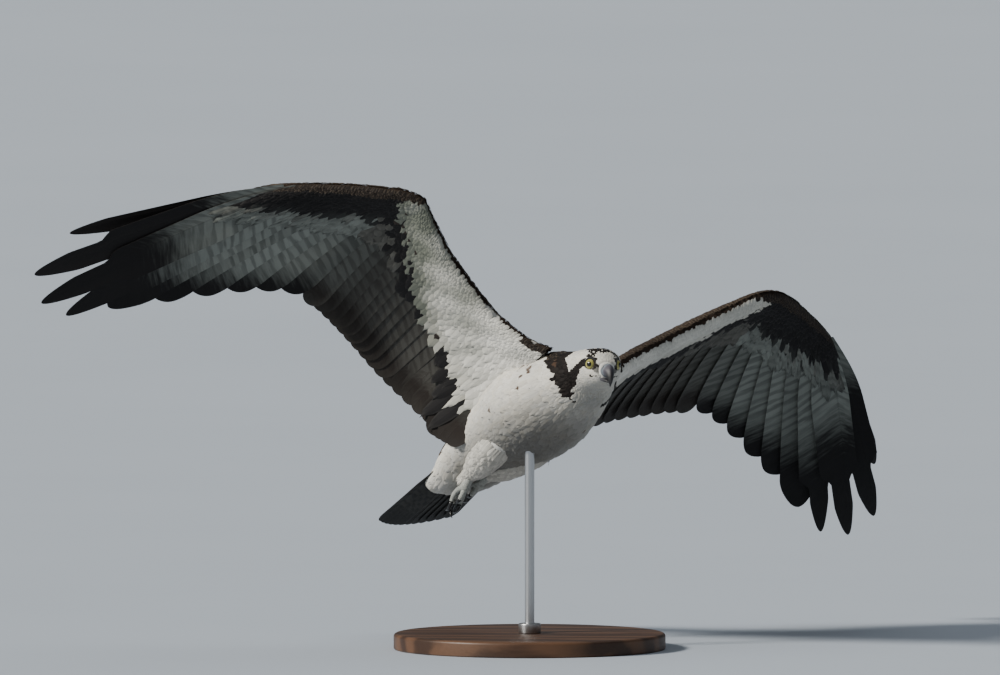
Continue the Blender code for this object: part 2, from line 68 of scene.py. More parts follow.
view_right = np.array([1.0, 0.0, 0.0])
view_away = np.array([0.0, math.cos(LOOKS_DOWN), -math.sin(LOOKS_DOWN)])
view_up = np.array([0.0, math.sin(LOOKS_DOWN), math.cos(LOOKS_DOWN)])
view_centre = SHOULDERS - VIEW_LEFT * view_right + VIEW_ABOVE * view_up


def add(name, data):
    """A new object in the scene."""
    made = bpy.data.objects.new(name, data)
    bpy.context.scene.collection.objects.link(made)
    return made


camera = add("camera", bpy.data.cameras.new("camera"))
camera.location = view_centre - CAMERA_DISTANCE * view_away
camera.rotation_euler = (math.pi / 2 - LOOKS_DOWN, 0.0, 0.0)
camera.data.type = "ORTHO"
camera.data.ortho_scale = VIEW_WIDTH
bpy.context.scene.camera = camera

# Each light: where it stands, its strength, its softness in degrees, its colour and if it casts shadows
for name, (x, y, z), strength, softness, colour, shadows in (
    ("key_light", (-0.85, -0.38, 0.55), 4.8, 10, SUNNY, True),
    ("fill_light", (0.20, -0.95, 0.30), 0.08, 60, SKYLIT, True),
    ("top_light", (0.10, 0.40, 1.00), 0.60, 60, SKYLIT, True),
    ("floor_bounce", (-0.70, -0.50, -0.50), 0.10, 90, SKYLIT, False),
):
    lamp = add(name, bpy.data.lights.new(name, "SUN"))
    lamp.data.energy = strength
    lamp.data.angle = math.radians(softness)
    lamp.data.color = colour
    lamp.data.use_shadow = shadows
    lamp.rotation_euler = (0.0, math.atan2(math.hypot(x, y), z), math.atan2(y, x))

room = bpy.data.worlds.new("room")
room.use_nodes = True
for key, value in (("Color", (0.86, 0.92, 1.0, 1.0)), ("Strength", 0.15)):
    room.node_tree.nodes["Background"].inputs[key].default_value = value
bpy.context.scene.world = room


class Value:
    """A socket in a material. Sums written with it add Math nodes; node() adds any other node."""

    def __init__(self, tree, socket=None):
        self.tree = tree
        self.socket = socket

    def node(self, kind, settings=None, inputs=None, output=0):
        made = self.tree.nodes.new(kind)
        for key, value in (settings or {}).items():
            setattr(made, key, value)
        for key, value in (inputs or {}).items():
            if isinstance(value, Value):
                self.tree.links.new(value.socket, made.inputs[key])
            else:
                made.inputs[key].default_value = value
        return Value(self.tree, made.outputs[output])

    def math(self, operation, *others):
        return self.node("ShaderNodeMath", {"operation": operation}, dict(enumerate([self, *others])))

    def __add__(self, other):
        return self.math("ADD", other)

    __radd__ = __add__

    def __mul__(self, other):
        return self.math("MULTIPLY", other)

    def __sub__(self, other):
        return self.math("SUBTRACT", other)

    def __rsub__(self, other):
        return self.node("ShaderNodeMath", {"operation": "SUBTRACT"}, {0: other, 1: self})

    def __truediv__(self, other):
        return self.math("DIVIDE", other)

    def between(self, low, high):
        """Nought below low, one above high, smooth between."""
        settings = {"interpolation_type": "SMOOTHSTEP"}
        return self.node("ShaderNodeMapRange", settings, {"Value": self, "From Min": low, "From Max": high})

    def blend(self, first, second):
        """The colour that goes from first to second as this goes from 0 to 1."""
        return self.node("ShaderNodeMix", {"data_type": "RGBA"}, {0: self, 6: first, 7: second}, 2)

    def scaled(self, by):
        """This colour, lighter or darker by a number."""
        return self.node("ShaderNodeVectorMath", {"operation": "SCALE"}, {0: self, "Scale": by})

    def bump(self, strength, depth):
        """The surface's normal, tipped by this height."""
        return self.node("ShaderNodeBump", None, {"Strength": strength, "Distance": depth, "Height": self})

    def parts(self):
        """The three parts of a vector."""
        split = self.node("ShaderNodeSeparateXYZ", None, {0: self}).socket.node
        return [Value(self.tree, socket) for socket in split.outputs]

    def vector(self, x, y, z):
        return self.node("ShaderNodeCombineXYZ", None, {0: x, 1: y, 2: z})

    def place(self):
        """Where on its object a point is."""
        return self.node("ShaderNodeTexCoord", output=3)

    def colour_kept(self, name):
        """The colour that the mesh keeps under a name."""
        return self.node("ShaderNodeAttribute", {"attribute_name": name})

    def parts_kept(self, name):
        """The three numbers that the mesh keeps under a name."""
        return self.node("ShaderNodeAttribute", {"attribute_name": name}, output=1).parts()

    def grain(self, place, scale, detail=3.0):
        """Noise about 0.5, from nought to one."""
        inputs = {"Vector": place, "Scale": scale, "Detail": detail, "Roughness": 0.55}
        return self.node("ShaderNodeTexNoise", None, inputs)


def finish_for(name, **fixed):
    """A new material with its fixed values on the shader's own sockets, and a Value to build with."""
    made = bpy.data.materials.new(name)
    made.use_nodes = True
    shader = made.node_tree.nodes["Principled BSDF"]
    for key, value in fixed.items():
        shader.inputs[key.replace("_", " ")].default_value = value
    return made, shader, Value(made.node_tree)


def feed(shader, **links):
    """Link values that change over the surface to the shader's sockets."""
    for key, value in links.items():
        value.tree.links.new(value.socket, shader.inputs[key.replace("_", " ")])


def floor_finish():
    """Matt pale paint with a very faint grain."""
    made, shader, start = finish_for("pale_floor", Roughness=0.9, Specular_IOR_Level=0.2)
    tone = start.grain(start.place(), 1.5).between(0.2, 0.8)
    lighter = tuple(1.03 * c for c in FLOOR_COLOUR[:3]) + (1.0,)
    feed(shader, Base_Color=tone.blend(FLOOR_COLOUR, lighter))
    return made


floor = add("floor", bpy.data.meshes.new("floor"))
corners = [(FLOOR_HALF * x, FLOOR_HALF * y, 0) for x, y in ((-1, -1), (1, -1), (1, 1), (-1, 1))]
floor.data.from_pydata(corners, [], [(0, 1, 2, 3)])
floor.data.materials.append(floor_finish())

# How the bird is carried: it is shaped in its own frame, forward, left and up out of the back, from the
# point midway between the shoulders. It heads 31.5 degrees round from the camera, nose up and left wing
# low, and its head and tail turn back against that.
HEADING = math.radians(31.5)
PITCH = math.radians(24.9)
BANK = math.radians(18.2)
HEAD_CENTRE = np.array([0.0905, -0.0077, -0.0392])
HEAD_YAW = math.radians(-5.6)
HEAD_PITCH = math.radians(-28.2)
HEAD_ROLL = math.radians(11.0)
TAIL_ROOT = np.array([-0.235, -0.004, -0.030])
TAIL_TIP = np.array([-0.439, 0.006, -0.0435])
TAIL_ROLL = math.radians(18.0)
UPRIGHT = np.array([0.0, 0.0, 1.0])
SIDES = ((1, "left"), (-1, "right"))


def size_of(v):
    """How long vectors are."""
    return np.linalg.norm(v, axis=-1)


def unit(v):
    """Vectors brought to a length of one."""
    return v / size_of(v)[..., None]


def share_of(x):
    """A number held between nought and one."""
    return np.clip(x, 0, 1)


def circle(count):
    """Angles evenly round a circle."""
    return np.arange(count) * 2 * math.pi / count


def grid(rows, columns):
    """Two numbers spread over the rows and columns of a grid."""
    return np.meshgrid(rows, columns, indexing="ij")


def axes_for(yaw, pitch, roll):
    """Rows: forward, left and up of a frame that looks yaw round and pitch up, its left raised by roll."""
    forward = np.array([math.cos(pitch) * math.cos(yaw), math.cos(pitch) * math.sin(yaw), math.sin(pitch)])
    level = unit(np.cross(UPRIGHT, forward))
    left = level * math.cos(roll) + np.cross(forward, level) * math.sin(roll)
    return np.array([forward, left, np.cross(forward, left)])


BIRD = axes_for(HEADING - math.pi / 2, PITCH, -BANK)
HEAD = axes_for(HEAD_YAW, HEAD_PITCH, HEAD_ROLL)
tail_x, tail_y, tail_z = unit(TAIL_ROOT - TAIL_TIP)
TAIL = axes_for(math.atan2(tail_y, tail_x), math.asin(tail_z), TAIL_ROLL)


def in_room(points):
    """Points of the bird's frame, put where the bird hangs over the stand."""
    return points @ BIRD + SHOULDERS


def from_head(points):
    """Points of the head's frame, put into the bird's."""
    return np.asarray(points, float) @ HEAD + HEAD_CENTRE


def to_head(points):
    """Points of the bird's frame, put into the head's and both sides of it laid on its left one."""
    local = (points - HEAD_CENTRE) @ HEAD.T
    return local * np.where(local[..., 1:2] < 0, (1, -1, 1), 1)


def spline(table, at):
    """Rows of a table read smoothly at whole and part rows, by Catmull-Rom through every row."""
    table = np.asarray(table, float)
    at = np.clip(np.asarray(at, float), 0, len(table) - 1)
    i = np.minimum(at.astype(int), len(table) - 2)
    t = (at - i)[..., None]
    padded = np.vstack([2 * table[0] - table[1], table, 2 * table[-1] - table[-2]])
    a, b, c, d = (padded[i + k] for k in range(4))
    return b + 0.5 * t * (c - a + t * (2 * a - 5 * b + 4 * c - d + t * (3 * (b - c) + d - a)))


def surface(name, points, finish, slot, round_across=False, caps=False):
    """One mesh from many grids of points: piece, along, across.

    Each grid's neighbours along and across are joined by quads. round_across joins the last column to
    the first, and caps closes both ends of such a tube with a fan about its middle.
    """
    count, along, across = points.shape[:3]
    i, j = grid(np.arange(along - 1), np.arange(across if round_across else across - 1))
    k = (j + 1) % across
    quad = np.stack([i * across + j, i * across + k, (i + 1) * across + k, (i + 1) * across + j], -1)
    starts = (np.arange(count) * along * across)[:, None]
    loops = (quad.reshape(1, -1) + starts).ravel()
    sizes = np.full(len(loops) // 4, 4)
    flat = points.reshape(-1, 3)
    if caps:
        middles = np.concatenate([points[:, 0].mean(axis=1), points[:, -1].mean(axis=1)])
        ring = np.arange(across)
        after = (ring + 1) % across
        end = starts + (along - 1) * across
        first, last = np.stack([starts + after, starts + ring], -1), np.stack([end + ring, end + after], -1)
        hub = np.broadcast_to((len(flat) + np.arange(2 * count))[:, None, None], (2 * count, across, 1))
        fans = np.concatenate([np.concatenate([first, last]), hub], -1)
        flat = np.concatenate([flat, middles])
        loops = np.concatenate([loops, fans.ravel()])
        sizes = np.concatenate([sizes, np.full(2 * count * across, 3)])
    mesh = bpy.data.meshes.new(name)
    mesh.vertices.add(len(flat))
    mesh.vertices.foreach_set("co", in_room(flat).astype(np.float32).ravel())
    mesh.loops.add(len(loops))
    mesh.loops.foreach_set("vertex_index", loops.astype(np.int32))
    mesh.polygons.add(len(sizes))
    mesh.polygons.foreach_set("loop_start", (np.cumsum(sizes) - sizes).astype(np.int32))
    mesh.update(calc_edges=True)
    mesh.validate()
    mesh.shade_smooth()
    mesh.materials.append(finish)
    piece = add(name, mesh)
    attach(piece, "root")
    return piece


def for_points(piece, values, width):
    """Values as one row for each point of a piece; the points that close its ends take the last row."""
    values = np.asarray(values, np.float32).reshape(-1, width)
    missing = len(piece.data.vertices) - len(values)
    return np.vstack([values, np.repeat(values[-1:], missing, axis=0)])


def run_together(piece, voxel):
    """Close a piece's overlapping forms into one skin, in steps of a voxel."""
    bpy.context.view_layer.objects.active = piece
    piece.data.remesh_voxel_size = voxel
    bpy.ops.object.voxel_remesh()
    piece.data.shade_smooth()


def mark(piece, name, values, kind="FLOAT_COLOR"):
    """Keep values, one for each point, on a piece's mesh for its material to read."""
    values = for_points(piece, values, 3)
    key = "vector"
    if kind == "FLOAT_COLOR":
        values = np.hstack([values, np.ones((len(values), 1), np.float32)])
        key = "color"
    piece.data.attributes.new(name, kind, "POINT").data.foreach_set(key, values.ravel())


def unwrap(piece, name, uv):
    """Lay a UV map over a piece from one pair of values for each of its points."""
    loops = np.empty(len(piece.data.loops), np.int32)
    piece.data.loops.foreach_get("vertex_index", loops)
    piece.data.uv_layers.new(name=name).data.foreach_set("uv", for_points(piece, uv, 2)[loops].ravel())


# Plumage: every feather is a keratin vane on a shaft, pale or dark, with bars, a darker tip or a pale
# fringe. One finish serves them all. It reads each feather's own two colours, its marks and its size from
# the mesh, and draws the barbs that run slantwise from the shaft to the edge.
CHOCOLATE = np.array([0.036, 0.024, 0.017])
DARK_BROWN = np.array([0.017, 0.013, 0.011])
BLACKISH = np.array([0.0065, 0.0060, 0.0062])
BUFF = np.array([0.42, 0.33, 0.23])
WHITE = np.array([0.80, 0.785, 0.73])
CREAM = np.array([0.74, 0.68, 0.55])
STONE = np.array([0.20, 0.215, 0.195])
SMOKE = np.array([0.070, 0.068, 0.060])
# A grey-green that stands for white feathers in shade: painted shade on the underwing coverts
SHADED_WHITE = np.array([0.15, 0.16, 0.13])


def plumage_finish():
    """Feather keratin: dull sheen, fine slant barbs as bump and tone, painted shade toward the root, and the
    feather's own marks.
    """
    made, shader, start = finish_for("plumage", Specular_IOR_Level=0.14)
    made.use_backface_culling = False
    across, along, _ = start.node("ShaderNodeUVMap", {"uv_map": "Vane"}).parts()
    across = across.math("ABSOLUTE")
    wide, long, seed = start.parts_kept("size")
    bars, tip, fringe = start.parts_kept("marks")

    barb = along * long - across * wide * 0.85

    def barbs(lengthwise, crosswise, shift, detail):
        place = start.vector(barb * lengthwise, across * wide * crosswise, seed * shift)
        return start.grain(place, 1.0, detail)

    fine = barbs(2200.0, 90.0, 50.0, 2.0)
    broad = barbs(190.0, 60.0, 50.0, 3.0)
    blotch = barbs(55.0, 40.0, 9.0, 2.0)
    wave = (barb * 390.0 + broad * 3.0 + blotch * 9.0 + seed * 1.4).math("SINE")
    band = wave.between(-0.55, 0.85) * bars * (blotch * 1.3 + 0.35)
    soft = long * 0.32 + 0.03
    ending = ((along - tip) / soft + (broad - 0.5) * 1.8).between(-1.0, 1.0)
    edge = across.math("MAXIMUM", along * 2.2 - 1.25) + (broad - 0.5) * 0.25
    trim = edge.between(0.62, 0.95) * fringe
    dark = band.math("MAXIMUM", ending) * (1.0 - trim)
    colour = dark.blend(start.colour_kept("pale"), start.colour_kept("deep"))
    shaft = 1.0 - (across * wide).between(0.0003, 0.0011)
    # Toward its root each feather is painted darker: painted shade where it lies under the feathers over it.
    # The barb grain and mottle are its own tone.
    tone = 0.68 + along * 0.14 + fine * 0.20 + broad * 0.20 - shaft * 0.22 * (1.0 - along)
    ridge = (fine + shaft).bump(0.35, 0.0003)
    feed(shader, Base_Color=colour.scaled(tone), Normal=ridge, Roughness=0.52 + broad * 0.25)
    return made


plumage = plumage_finish()


def each(v):
    """One value for each feather, to spread over its grid of points."""
    return v[:, None, None]


# What share of a small feather's length its rounded tip takes, and how ragged the ends of its barbs are
TIP_ROUND, RAGGED = 0.45, 0.05


def feather_outline(points_along, points_across):
    """Shares along and across one feather, and how wide it is at each row.

    It opens quickly from its root, is widest past its middle and ends in a rounded tip.
    """
    along = 1 - (1 - np.linspace(0, 1, points_along)) ** 1.35
    across = np.linspace(-1, 1, points_across)
    back = share_of((along - (1 - TIP_ROUND)) / TIP_ROUND)
    width = (0.42 + 0.58 * share_of(along / 0.45) ** 0.8) * np.sqrt(np.clip(1 - back**2, 0.012, 1))
    return along, across, width


def lay_feathers(over, u, v, way, length, width, rise, rng, rows=6, columns=5, turn=0.0):
    """Feathers laid on a surface: grids of points, feather by feather.

    over(u, v, out) is the surface, out metres proud of it. Each feather roots at its own u, v and lies
    toward way, plus or minus one, along u. turn slews it toward v. rise holds how deep its root lies and
    how proud its tip stands. Also gives the u and v of the part that shows, near the tip.
    """
    def step(du, dv):
        return size_of(over(u + du, v + dv, 0 * u) - over(u - du, v - dv, 0 * u))

    per_u, per_v = step(1e-3, 0) / 2e-3, step(0, 1e-3) / 2e-3
    along, across, shape = feather_outline(rows, columns)
    bend = each(turn + rng.normal(0, 0.06, len(u)))
    far = along[None, :, None] * each(length)
    ends = np.ones((len(u), rows, columns))
    ends[:, 1:] += RAGGED * rng.normal(0, 1, (len(u), rows - 1, columns)) * along[None, 1:, None] ** 2
    side = across[None, None] * shape[None, :, None] * each(width)
    ahead = far * ends * np.cos(bend) - side * np.sin(bend)
    aside = side * np.cos(bend) + far * np.sin(bend)
    us = each(u) + way * ahead / each(per_u)
    vs = each(v) + aside / each(per_v)
    deep, proud = rise
    swell = np.sin(0.5 * math.pi * along)[None, :, None] * rng.uniform(0.8, 1.2, (len(u), 1, 1))
    lift = deep + (proud - deep) * swell - 0.15 * each(width) * across**2
    return over(us, vs, lift), us[:, -2, columns // 2], vs[:, -2, columns // 2]


def keep_looks(piece, shape, across, along, pale, deep, marks, sizes, rng):
    """Keep each feather's colours, marks, size and seed on a piece, and its vane as a UV map.

    shape is feathers, rows and points round or across a feather. Gives the vane's grid of across, along.
    """
    seeded = each(np.column_stack([sizes, rng.uniform(0, 1, shape[0])]))
    for name, values in (("pale", pale), ("deep", deep), ("marks", marks), ("size", seeded)):
        kind = "FLOAT_COLOR" if name in ("pale", "deep") else "FLOAT_VECTOR"
        mark(piece, name, np.broadcast_to(values, (*shape, 3)), kind)
    vane = np.stack(np.broadcast_arrays(across[None, None], along[None, :, None]), -1)
    vane = np.broadcast_to(vane, (*shape, 2))
    unwrap(piece, "Vane", vane)
    return vane


# A small feather's patch on the OFBake map: half its width, and its length
PATCH = (0.0015, 0.003)


def coat(name, points, slot, root_uv, pale, deep, marks, sizes, rng):
    """One coat piece from grids of feathers, each a small patch of the OFBake map at its root's place."""
    along, across, _ = feather_outline(*points.shape[1:3])
    piece = surface(name, points, plumage, slot)
    vane = keep_looks(piece, points.shape[:3], across, along, each(pale), each(deep), each(marks), sizes, rng)
    unwrap(piece, "OFBake", each(root_uv) + vane * PATCH)
    return piece


def round_uv(angle, along):
    """Places on the skin's unwrap: once round across it, and along it."""
    return np.column_stack([angle / (2 * math.pi) % 1.0 * 0.99, along])


# The body: one lofted form from the tail coverts over trunk and neck to the bill. Each station holds the
# forward, left and up of its centre, half width, rise above and drop below it, and how far its section
# turns to the tail's frame (below nought) or the head's (above nought).
BODY = (
    (-0.318, 0.000, -0.037, 0.030, 0.006, 0.009, -1.0),
    (-0.300, -0.001, -0.036, 0.043, 0.009, 0.019, -1.0),
    (-0.270, -0.001, -0.034, 0.048, 0.014, 0.027, -0.9),
    (-0.235, -0.003, -0.030, 0.052, 0.026, 0.034, -0.6),
    (-0.195, -0.001, -0.027, 0.054, 0.039, 0.040, -0.25),
    (-0.140, -0.002, -0.026, 0.061, 0.050, 0.050, 0.0),
    (-0.070, -0.003, -0.026, 0.066, 0.053, 0.057, 0.0),
    (0.000, -0.002, -0.025, 0.0525, 0.042, 0.055, 0.0),
    (0.035, -0.003, -0.027, 0.0435, 0.030, 0.048, 0.15),
    (0.058, -0.004, -0.030, 0.0375, 0.0250, 0.0410, 0.45),
    (0.0735, -0.0060, -0.0318, 0.0325, 0.0226, 0.0338, 0.85),
    (0.0860, -0.0072, -0.0368, 0.0290, 0.0235, 0.0280, 1.0),
    (0.0980, -0.0085, -0.0430, 0.0262, 0.0240, 0.0243, 1.0),
    (0.1070, -0.0095, -0.0478, 0.0218, 0.0198, 0.0212, 1.0),
    (0.1150, -0.0104, -0.0521, 0.0150, 0.0138, 0.0168, 1.0),
    (0.1210, -0.0111, -0.0554, 0.0092, 0.0085, 0.0125, 1.0),
)
EYE_AT = np.array([0.0165, 0.0146, 0.0050])
EYE_RADIUS = 0.0083
EYE_LOOKS = unit(np.array([0.71, 0.70, 0.06]))
BROW_FROM, BROW_TO = np.array([0.004, 0.0225, 0.0125]), np.array([0.0300, 0.0125, 0.0095])
BROW_HIGH, BROW_WIDE, SOCKET_DEEP, SOCKET_WIDE = 0.0016, 0.0042, 0.0022, 0.0062
LAST_STATION = len(BODY) - 1
# How far under the outer form the skin lies: the coat's depth, by station
COAT_AT = (0.0, 2.0, 8.0, 10.0, 12.0, 15.0)
COAT_DEEP = (0.0020, 0.0030, 0.0030, 0.0022, 0.0013, 0.0008)


def oval(angle, power):
    """Across and up on an oval a little boxier than a circle."""
    across, up = np.cos(angle), np.sin(angle)
    grow = (np.abs(across) ** power + np.abs(up) ** power) ** (-1 / power)
    return across * grow, up * grow


def section_ways(row):
    """Left and up of the body's sections, turned by their share to the head's frame or the tail's."""
    share = row[..., 6, None]

    def way(k):
        return unit((1 - abs(share)) * np.eye(3)[k] + np.where(share > 0, HEAD[k], TAIL[k]) * abs(share))

    return way(1), way(2)


def from_line(points, start, end):
    """How far points are from the straight line between two points."""
    run = np.subtract(end, start)
    share = share_of(((points - start) @ run) / (run @ run))[..., None]
    return size_of(points - start - share * run)


def by_eye(local):
    """How far points of the head's left side are ahead of the eye and beside its line of sight."""
    from_eye = local - EYE_AT
    ahead = from_eye @ EYE_LOOKS
    return ahead, size_of(from_eye - ahead[..., None] * EYE_LOOKS)


def on_body(t, angle, out):
    """The body's outer form at station t and angle round it, from its left side up, out metres proud.

    Over each eye the head swells to a brow, and round each eye it falls away to the socket.
    """
    row = spline(BODY, t)
    left, above = section_ways(row)
    across, up = oval(angle, 2.25)
    radial = across[..., None] * left + up[..., None] * above
    tall = np.where(up > 0, row[..., 4], row[..., 5])
    aside, lifted = across * (row[..., 3] + out), up * (tall + out)
    point = row[..., :3] + aside[..., None] * left + lifted[..., None] * above
    local = to_head(point)
    swell = BROW_HIGH * np.exp(-((from_line(local, BROW_FROM, BROW_TO) / BROW_WIDE) ** 2))
    swell = swell - SOCKET_DEEP * np.exp(-((by_eye(local)[1] / SOCKET_WIDE) ** 4))
    return point + unit(radial) * (swell * (t > 10))[..., None]


def eye_distance(points):
    """How far points of the bird's frame are beside the line along which the nearer eye looks."""
    ahead, beside = by_eye(to_head(points))
    return np.where(ahead > 0, beside, 1.0)


def below_level(angle):
    """Degrees below level round the body, the same on both sides: -90 on the back, 90 on the belly."""
    return -np.degrees(np.arcsin(np.clip(np.sin(angle), -1, 1)))


# Dark strokes on each side of the head, in its own frame: the eye's surround and lores, the stripe back
# from the eye, the brow, and the gape's line
HEAD_STROKES = (
    (0.0076, (0.0205, 0.0198, 0.0060), (0.0215, 0.0190, 0.0060)),
    (0.0052, (0.0205, 0.0198, 0.0050), (0.0258, 0.0155, 0.0045)),
    (0.0044, (0.0086, 0.0254, 0.0060), (-0.0015, 0.0281, -0.0028)),
    (0.0062, (-0.0015, 0.0281, -0.0028), (-0.0110, 0.0303, -0.0120)),
    (0.0078, (-0.0110, 0.0303, -0.0120), (-0.0240, 0.0370, -0.0205)),
    (0.0050, (0.0210, 0.0180, 0.0090), (0.0245, 0.0160, 0.0080)),
    (0.0026, (0.0120, 0.0210, 0.0120), (0.0250, 0.0130, 0.0120)),
    (0.0013, (0.0330, 0.0070, -0.0090), (0.0210, 0.0180, -0.0090)),
)
CROWN_STROKES = (
    (0.0052, (-0.0050, 0.0110, 0.0200), (0.0080, 0.0120, 0.0195)),
    (0.0064, (0.0080, 0.0120, 0.0195), (0.0120, 0.0, 0.0220)),
    (0.0054, (0.0120, 0.0120, 0.0190), (0.0185, 0.0175, 0.0125)),
    (0.0022, (-0.0400, 0.0, 0.0185), (0.0040, 0.0, 0.0225)),
)
# Grey lores, between the eye and the cere
LORE_STROKES = ((0.0062, (0.0235, 0.0160, 0.0050), (0.0320, 0.0095, -0.0010)),)


def inside_strokes(points, strokes):
    """How far inside any of the strokes points of the bird's frame are, on either side of the head."""
    local = to_head(points)
    return np.maximum.reduce([radius - from_line(local, start, end) for radius, start, end in strokes])


# Between these degrees below level the neck and back are dark, by station
DARK_AT = (0, 3, 5, 7.0, 7.15, 7.6, 7.95, 8.15, 8.30, 8.50, 9.0, 9.57, 10.3, 10.7, 10.8)
DARK_DOWN_TO = (-22, -12, -20, -42, -38, -14, 9.5, 28, 58, 68, 58, 48, 36, 20, -200)
DARK_FROM_AT, DARK_FROM = (0, 8.9, 9.2, 9.6, 10.0, 10.5), (-120, -120, -32, 1, 9, 14)


def body_dark(t, angle, rough):
    """How dark the body is: back and hind neck, the patch down the neck's side, and the head's strokes.

    rough is the raggedness of the edges, a number about nought for each place. The patch ends higher on
    the far side, which the photo hides.
    """
    low = below_level(angle) + 3 * rough + 26 * share_of(t - 8) * (np.cos(angle) > 0)
    above_end = share_of((np.interp(t, DARK_AT, DARK_DOWN_TO) - low) / 5 + 0.5)
    dark = above_end * share_of((low - np.interp(t, DARK_FROM_AT, DARK_FROM)) / 5 + 0.5)
    points = on_body(t, angle, 0 * t)
    strokes = share_of(inside_strokes(points, HEAD_STROKES) / 0.0007 + 0.5 * rough + 0.5)
    crown = share_of(inside_strokes(points, CROWN_STROKES) / 0.0012 + 0.4 * rough + 0.3) * (rough > -1.1)
    return np.maximum(dark, np.maximum(strokes, 0.9 * crown) * (t > 9))


# The wings' shape: leading edge and feather tips by the share of the way out, 0 at the body, 1 at the
# wrist and 2 past the outermost primary. The right wing is the left one mirrored.
WING_EDGES = (
    (0.00, (0.010, 0.045, -0.004), (-0.185, 0.062, -0.045)),
    (0.14, (0.006, 0.073, 0.020), (-0.218, 0.084, -0.014)),
    (0.30, (-0.002, 0.106, 0.049), (-0.243, 0.113, 0.024)),
    (0.46, (-0.005, 0.143, 0.079), (-0.254, 0.146, 0.055)),
    (0.62, (0.001, 0.181, 0.109), (-0.247, 0.181, 0.076)),
    (0.80, (0.014, 0.220, 0.138), (-0.228, 0.224, 0.090)),
    (0.94, (0.025, 0.250, 0.157), (-0.214, 0.262, 0.099)),
    (1.05, (0.022, 0.272, 0.168), (-0.222, 0.302, 0.105)),
    (1.15, (0.014, 0.284, 0.171), (-0.232, 0.333, 0.106)),
    (1.25, (0.006, 0.294, 0.173), (-0.245, 0.365, 0.104)),
    (1.35, (-0.003, 0.304, 0.175), (-0.263, 0.402, 0.098)),
    (1.45, (-0.013, 0.316, 0.176), (-0.290, 0.444, 0.089)),
    (1.55, (-0.025, 0.331, 0.177), (-0.321, 0.491, 0.077)),
    (1.65, (-0.037, 0.347, 0.178), (-0.346, 0.537, 0.066)),
    (1.75, (-0.048, 0.361, 0.178), (-0.343, 0.574, 0.071)),
    (1.85, (-0.058, 0.373, 0.178), (-0.321, 0.597, 0.095)),
    (1.95, (-0.066, 0.383, 0.177), (-0.279, 0.572, 0.143)),
    (2.05, (-0.073, 0.392, 0.176), (-0.252, 0.545, 0.162)),
)
# How far back from its leading edge the wing is white underneath, as a share of its chord
WHITE_TO_AT = (0.0, 0.04, 0.14, 0.25, 0.35, 0.47, 0.58, 0.72, 0.86, 0.95, 1.02, 2.0)
WHITE_TO = (0.95, 0.92, 0.77, 0.67, 0.59, 0.54, 0.48, 0.33, 0.19, 0.12, 0.0, -0.2)


def wing_edges(share):
    """Leading edge and feather tips of the left wing, side by side in one row."""
    places, leads, tips = zip(*WING_EDGES)
    return spline(np.hstack([leads, tips]), np.interp(share, places, np.arange(len(places))))


wing_places = np.linspace(-0.05, 2.05, 841)
read = wing_edges(wing_places)
chords = read[:, 3:] - read[:, :3]
outwards = np.gradient(read[:, :3] + read[:, 3:], axis=0)
outwards[wing_places < 0.01] = outwards[wing_places >= 0.01][0]
outwards = unit(outwards)
normals = unit(np.cross(outwards, chords))
normals *= np.sign(normals[:, 2:])
# The outermost tips turn back inward, so past the eighth primary the upward way is held
normals[wing_places > 1.7] = normals[wing_places <= 1.7][-1]
normals = unit(normals - unit(chords) * (normals * unit(chords)).sum(axis=1, keepdims=True))
sweeps = unit(np.cross(normals, chords))
sweeps *= np.sign((sweeps * outwards).sum(axis=1, keepdims=True))
wing_table = np.hstack([read[:, :3], chords, normals, sweeps])


def wing_frame(share):
    """Leading edge, chord, upward normal and outward sweep of the left wing."""
    read = np.stack([np.interp(share, wing_places, column) for column in wing_table.T], -1)
    return read[..., :3], read[..., 3:6], unit(read[..., 6:9]), unit(read[..., 9:12])


# How each wing's leading edge is held apart from the mirrored shape, in millimetres forward, up and out,
# by share: the banked bird twists and spreads the two wings differently
HELD_AT = (0.0, 0.07, 0.14, 0.30, 0.45, 0.60, 0.80, 0.90, 1.00, 1.10, 1.30, 1.50, 2.00)
HELD = {
    1: (
        (10, 5, 0, 0, 0, 0, 1, 2, 2, 3, 3, 2, 0),
        (3, 5, 7, 7, 7, 7, 7, 8, 6, 3, 1, 0, 0),
        (0, 0, 0, 0, 0, 0, 0, 0, 0, 4, 9, 10, 9),
    ),
    -1: (
        (20, 9, 1, -6, -2, 0, 6, 9, 3, 0, 0, 0, 0),
        (6, 3, 0, -1, 0, 0, 1, 2, -1, -5, -7, -7, -7),
        (0, 0, 0, 0, 0, 0, -4, -8, -10, -8, -3, 0, 0),
    ),
}
VANE_THICK = 0.0016


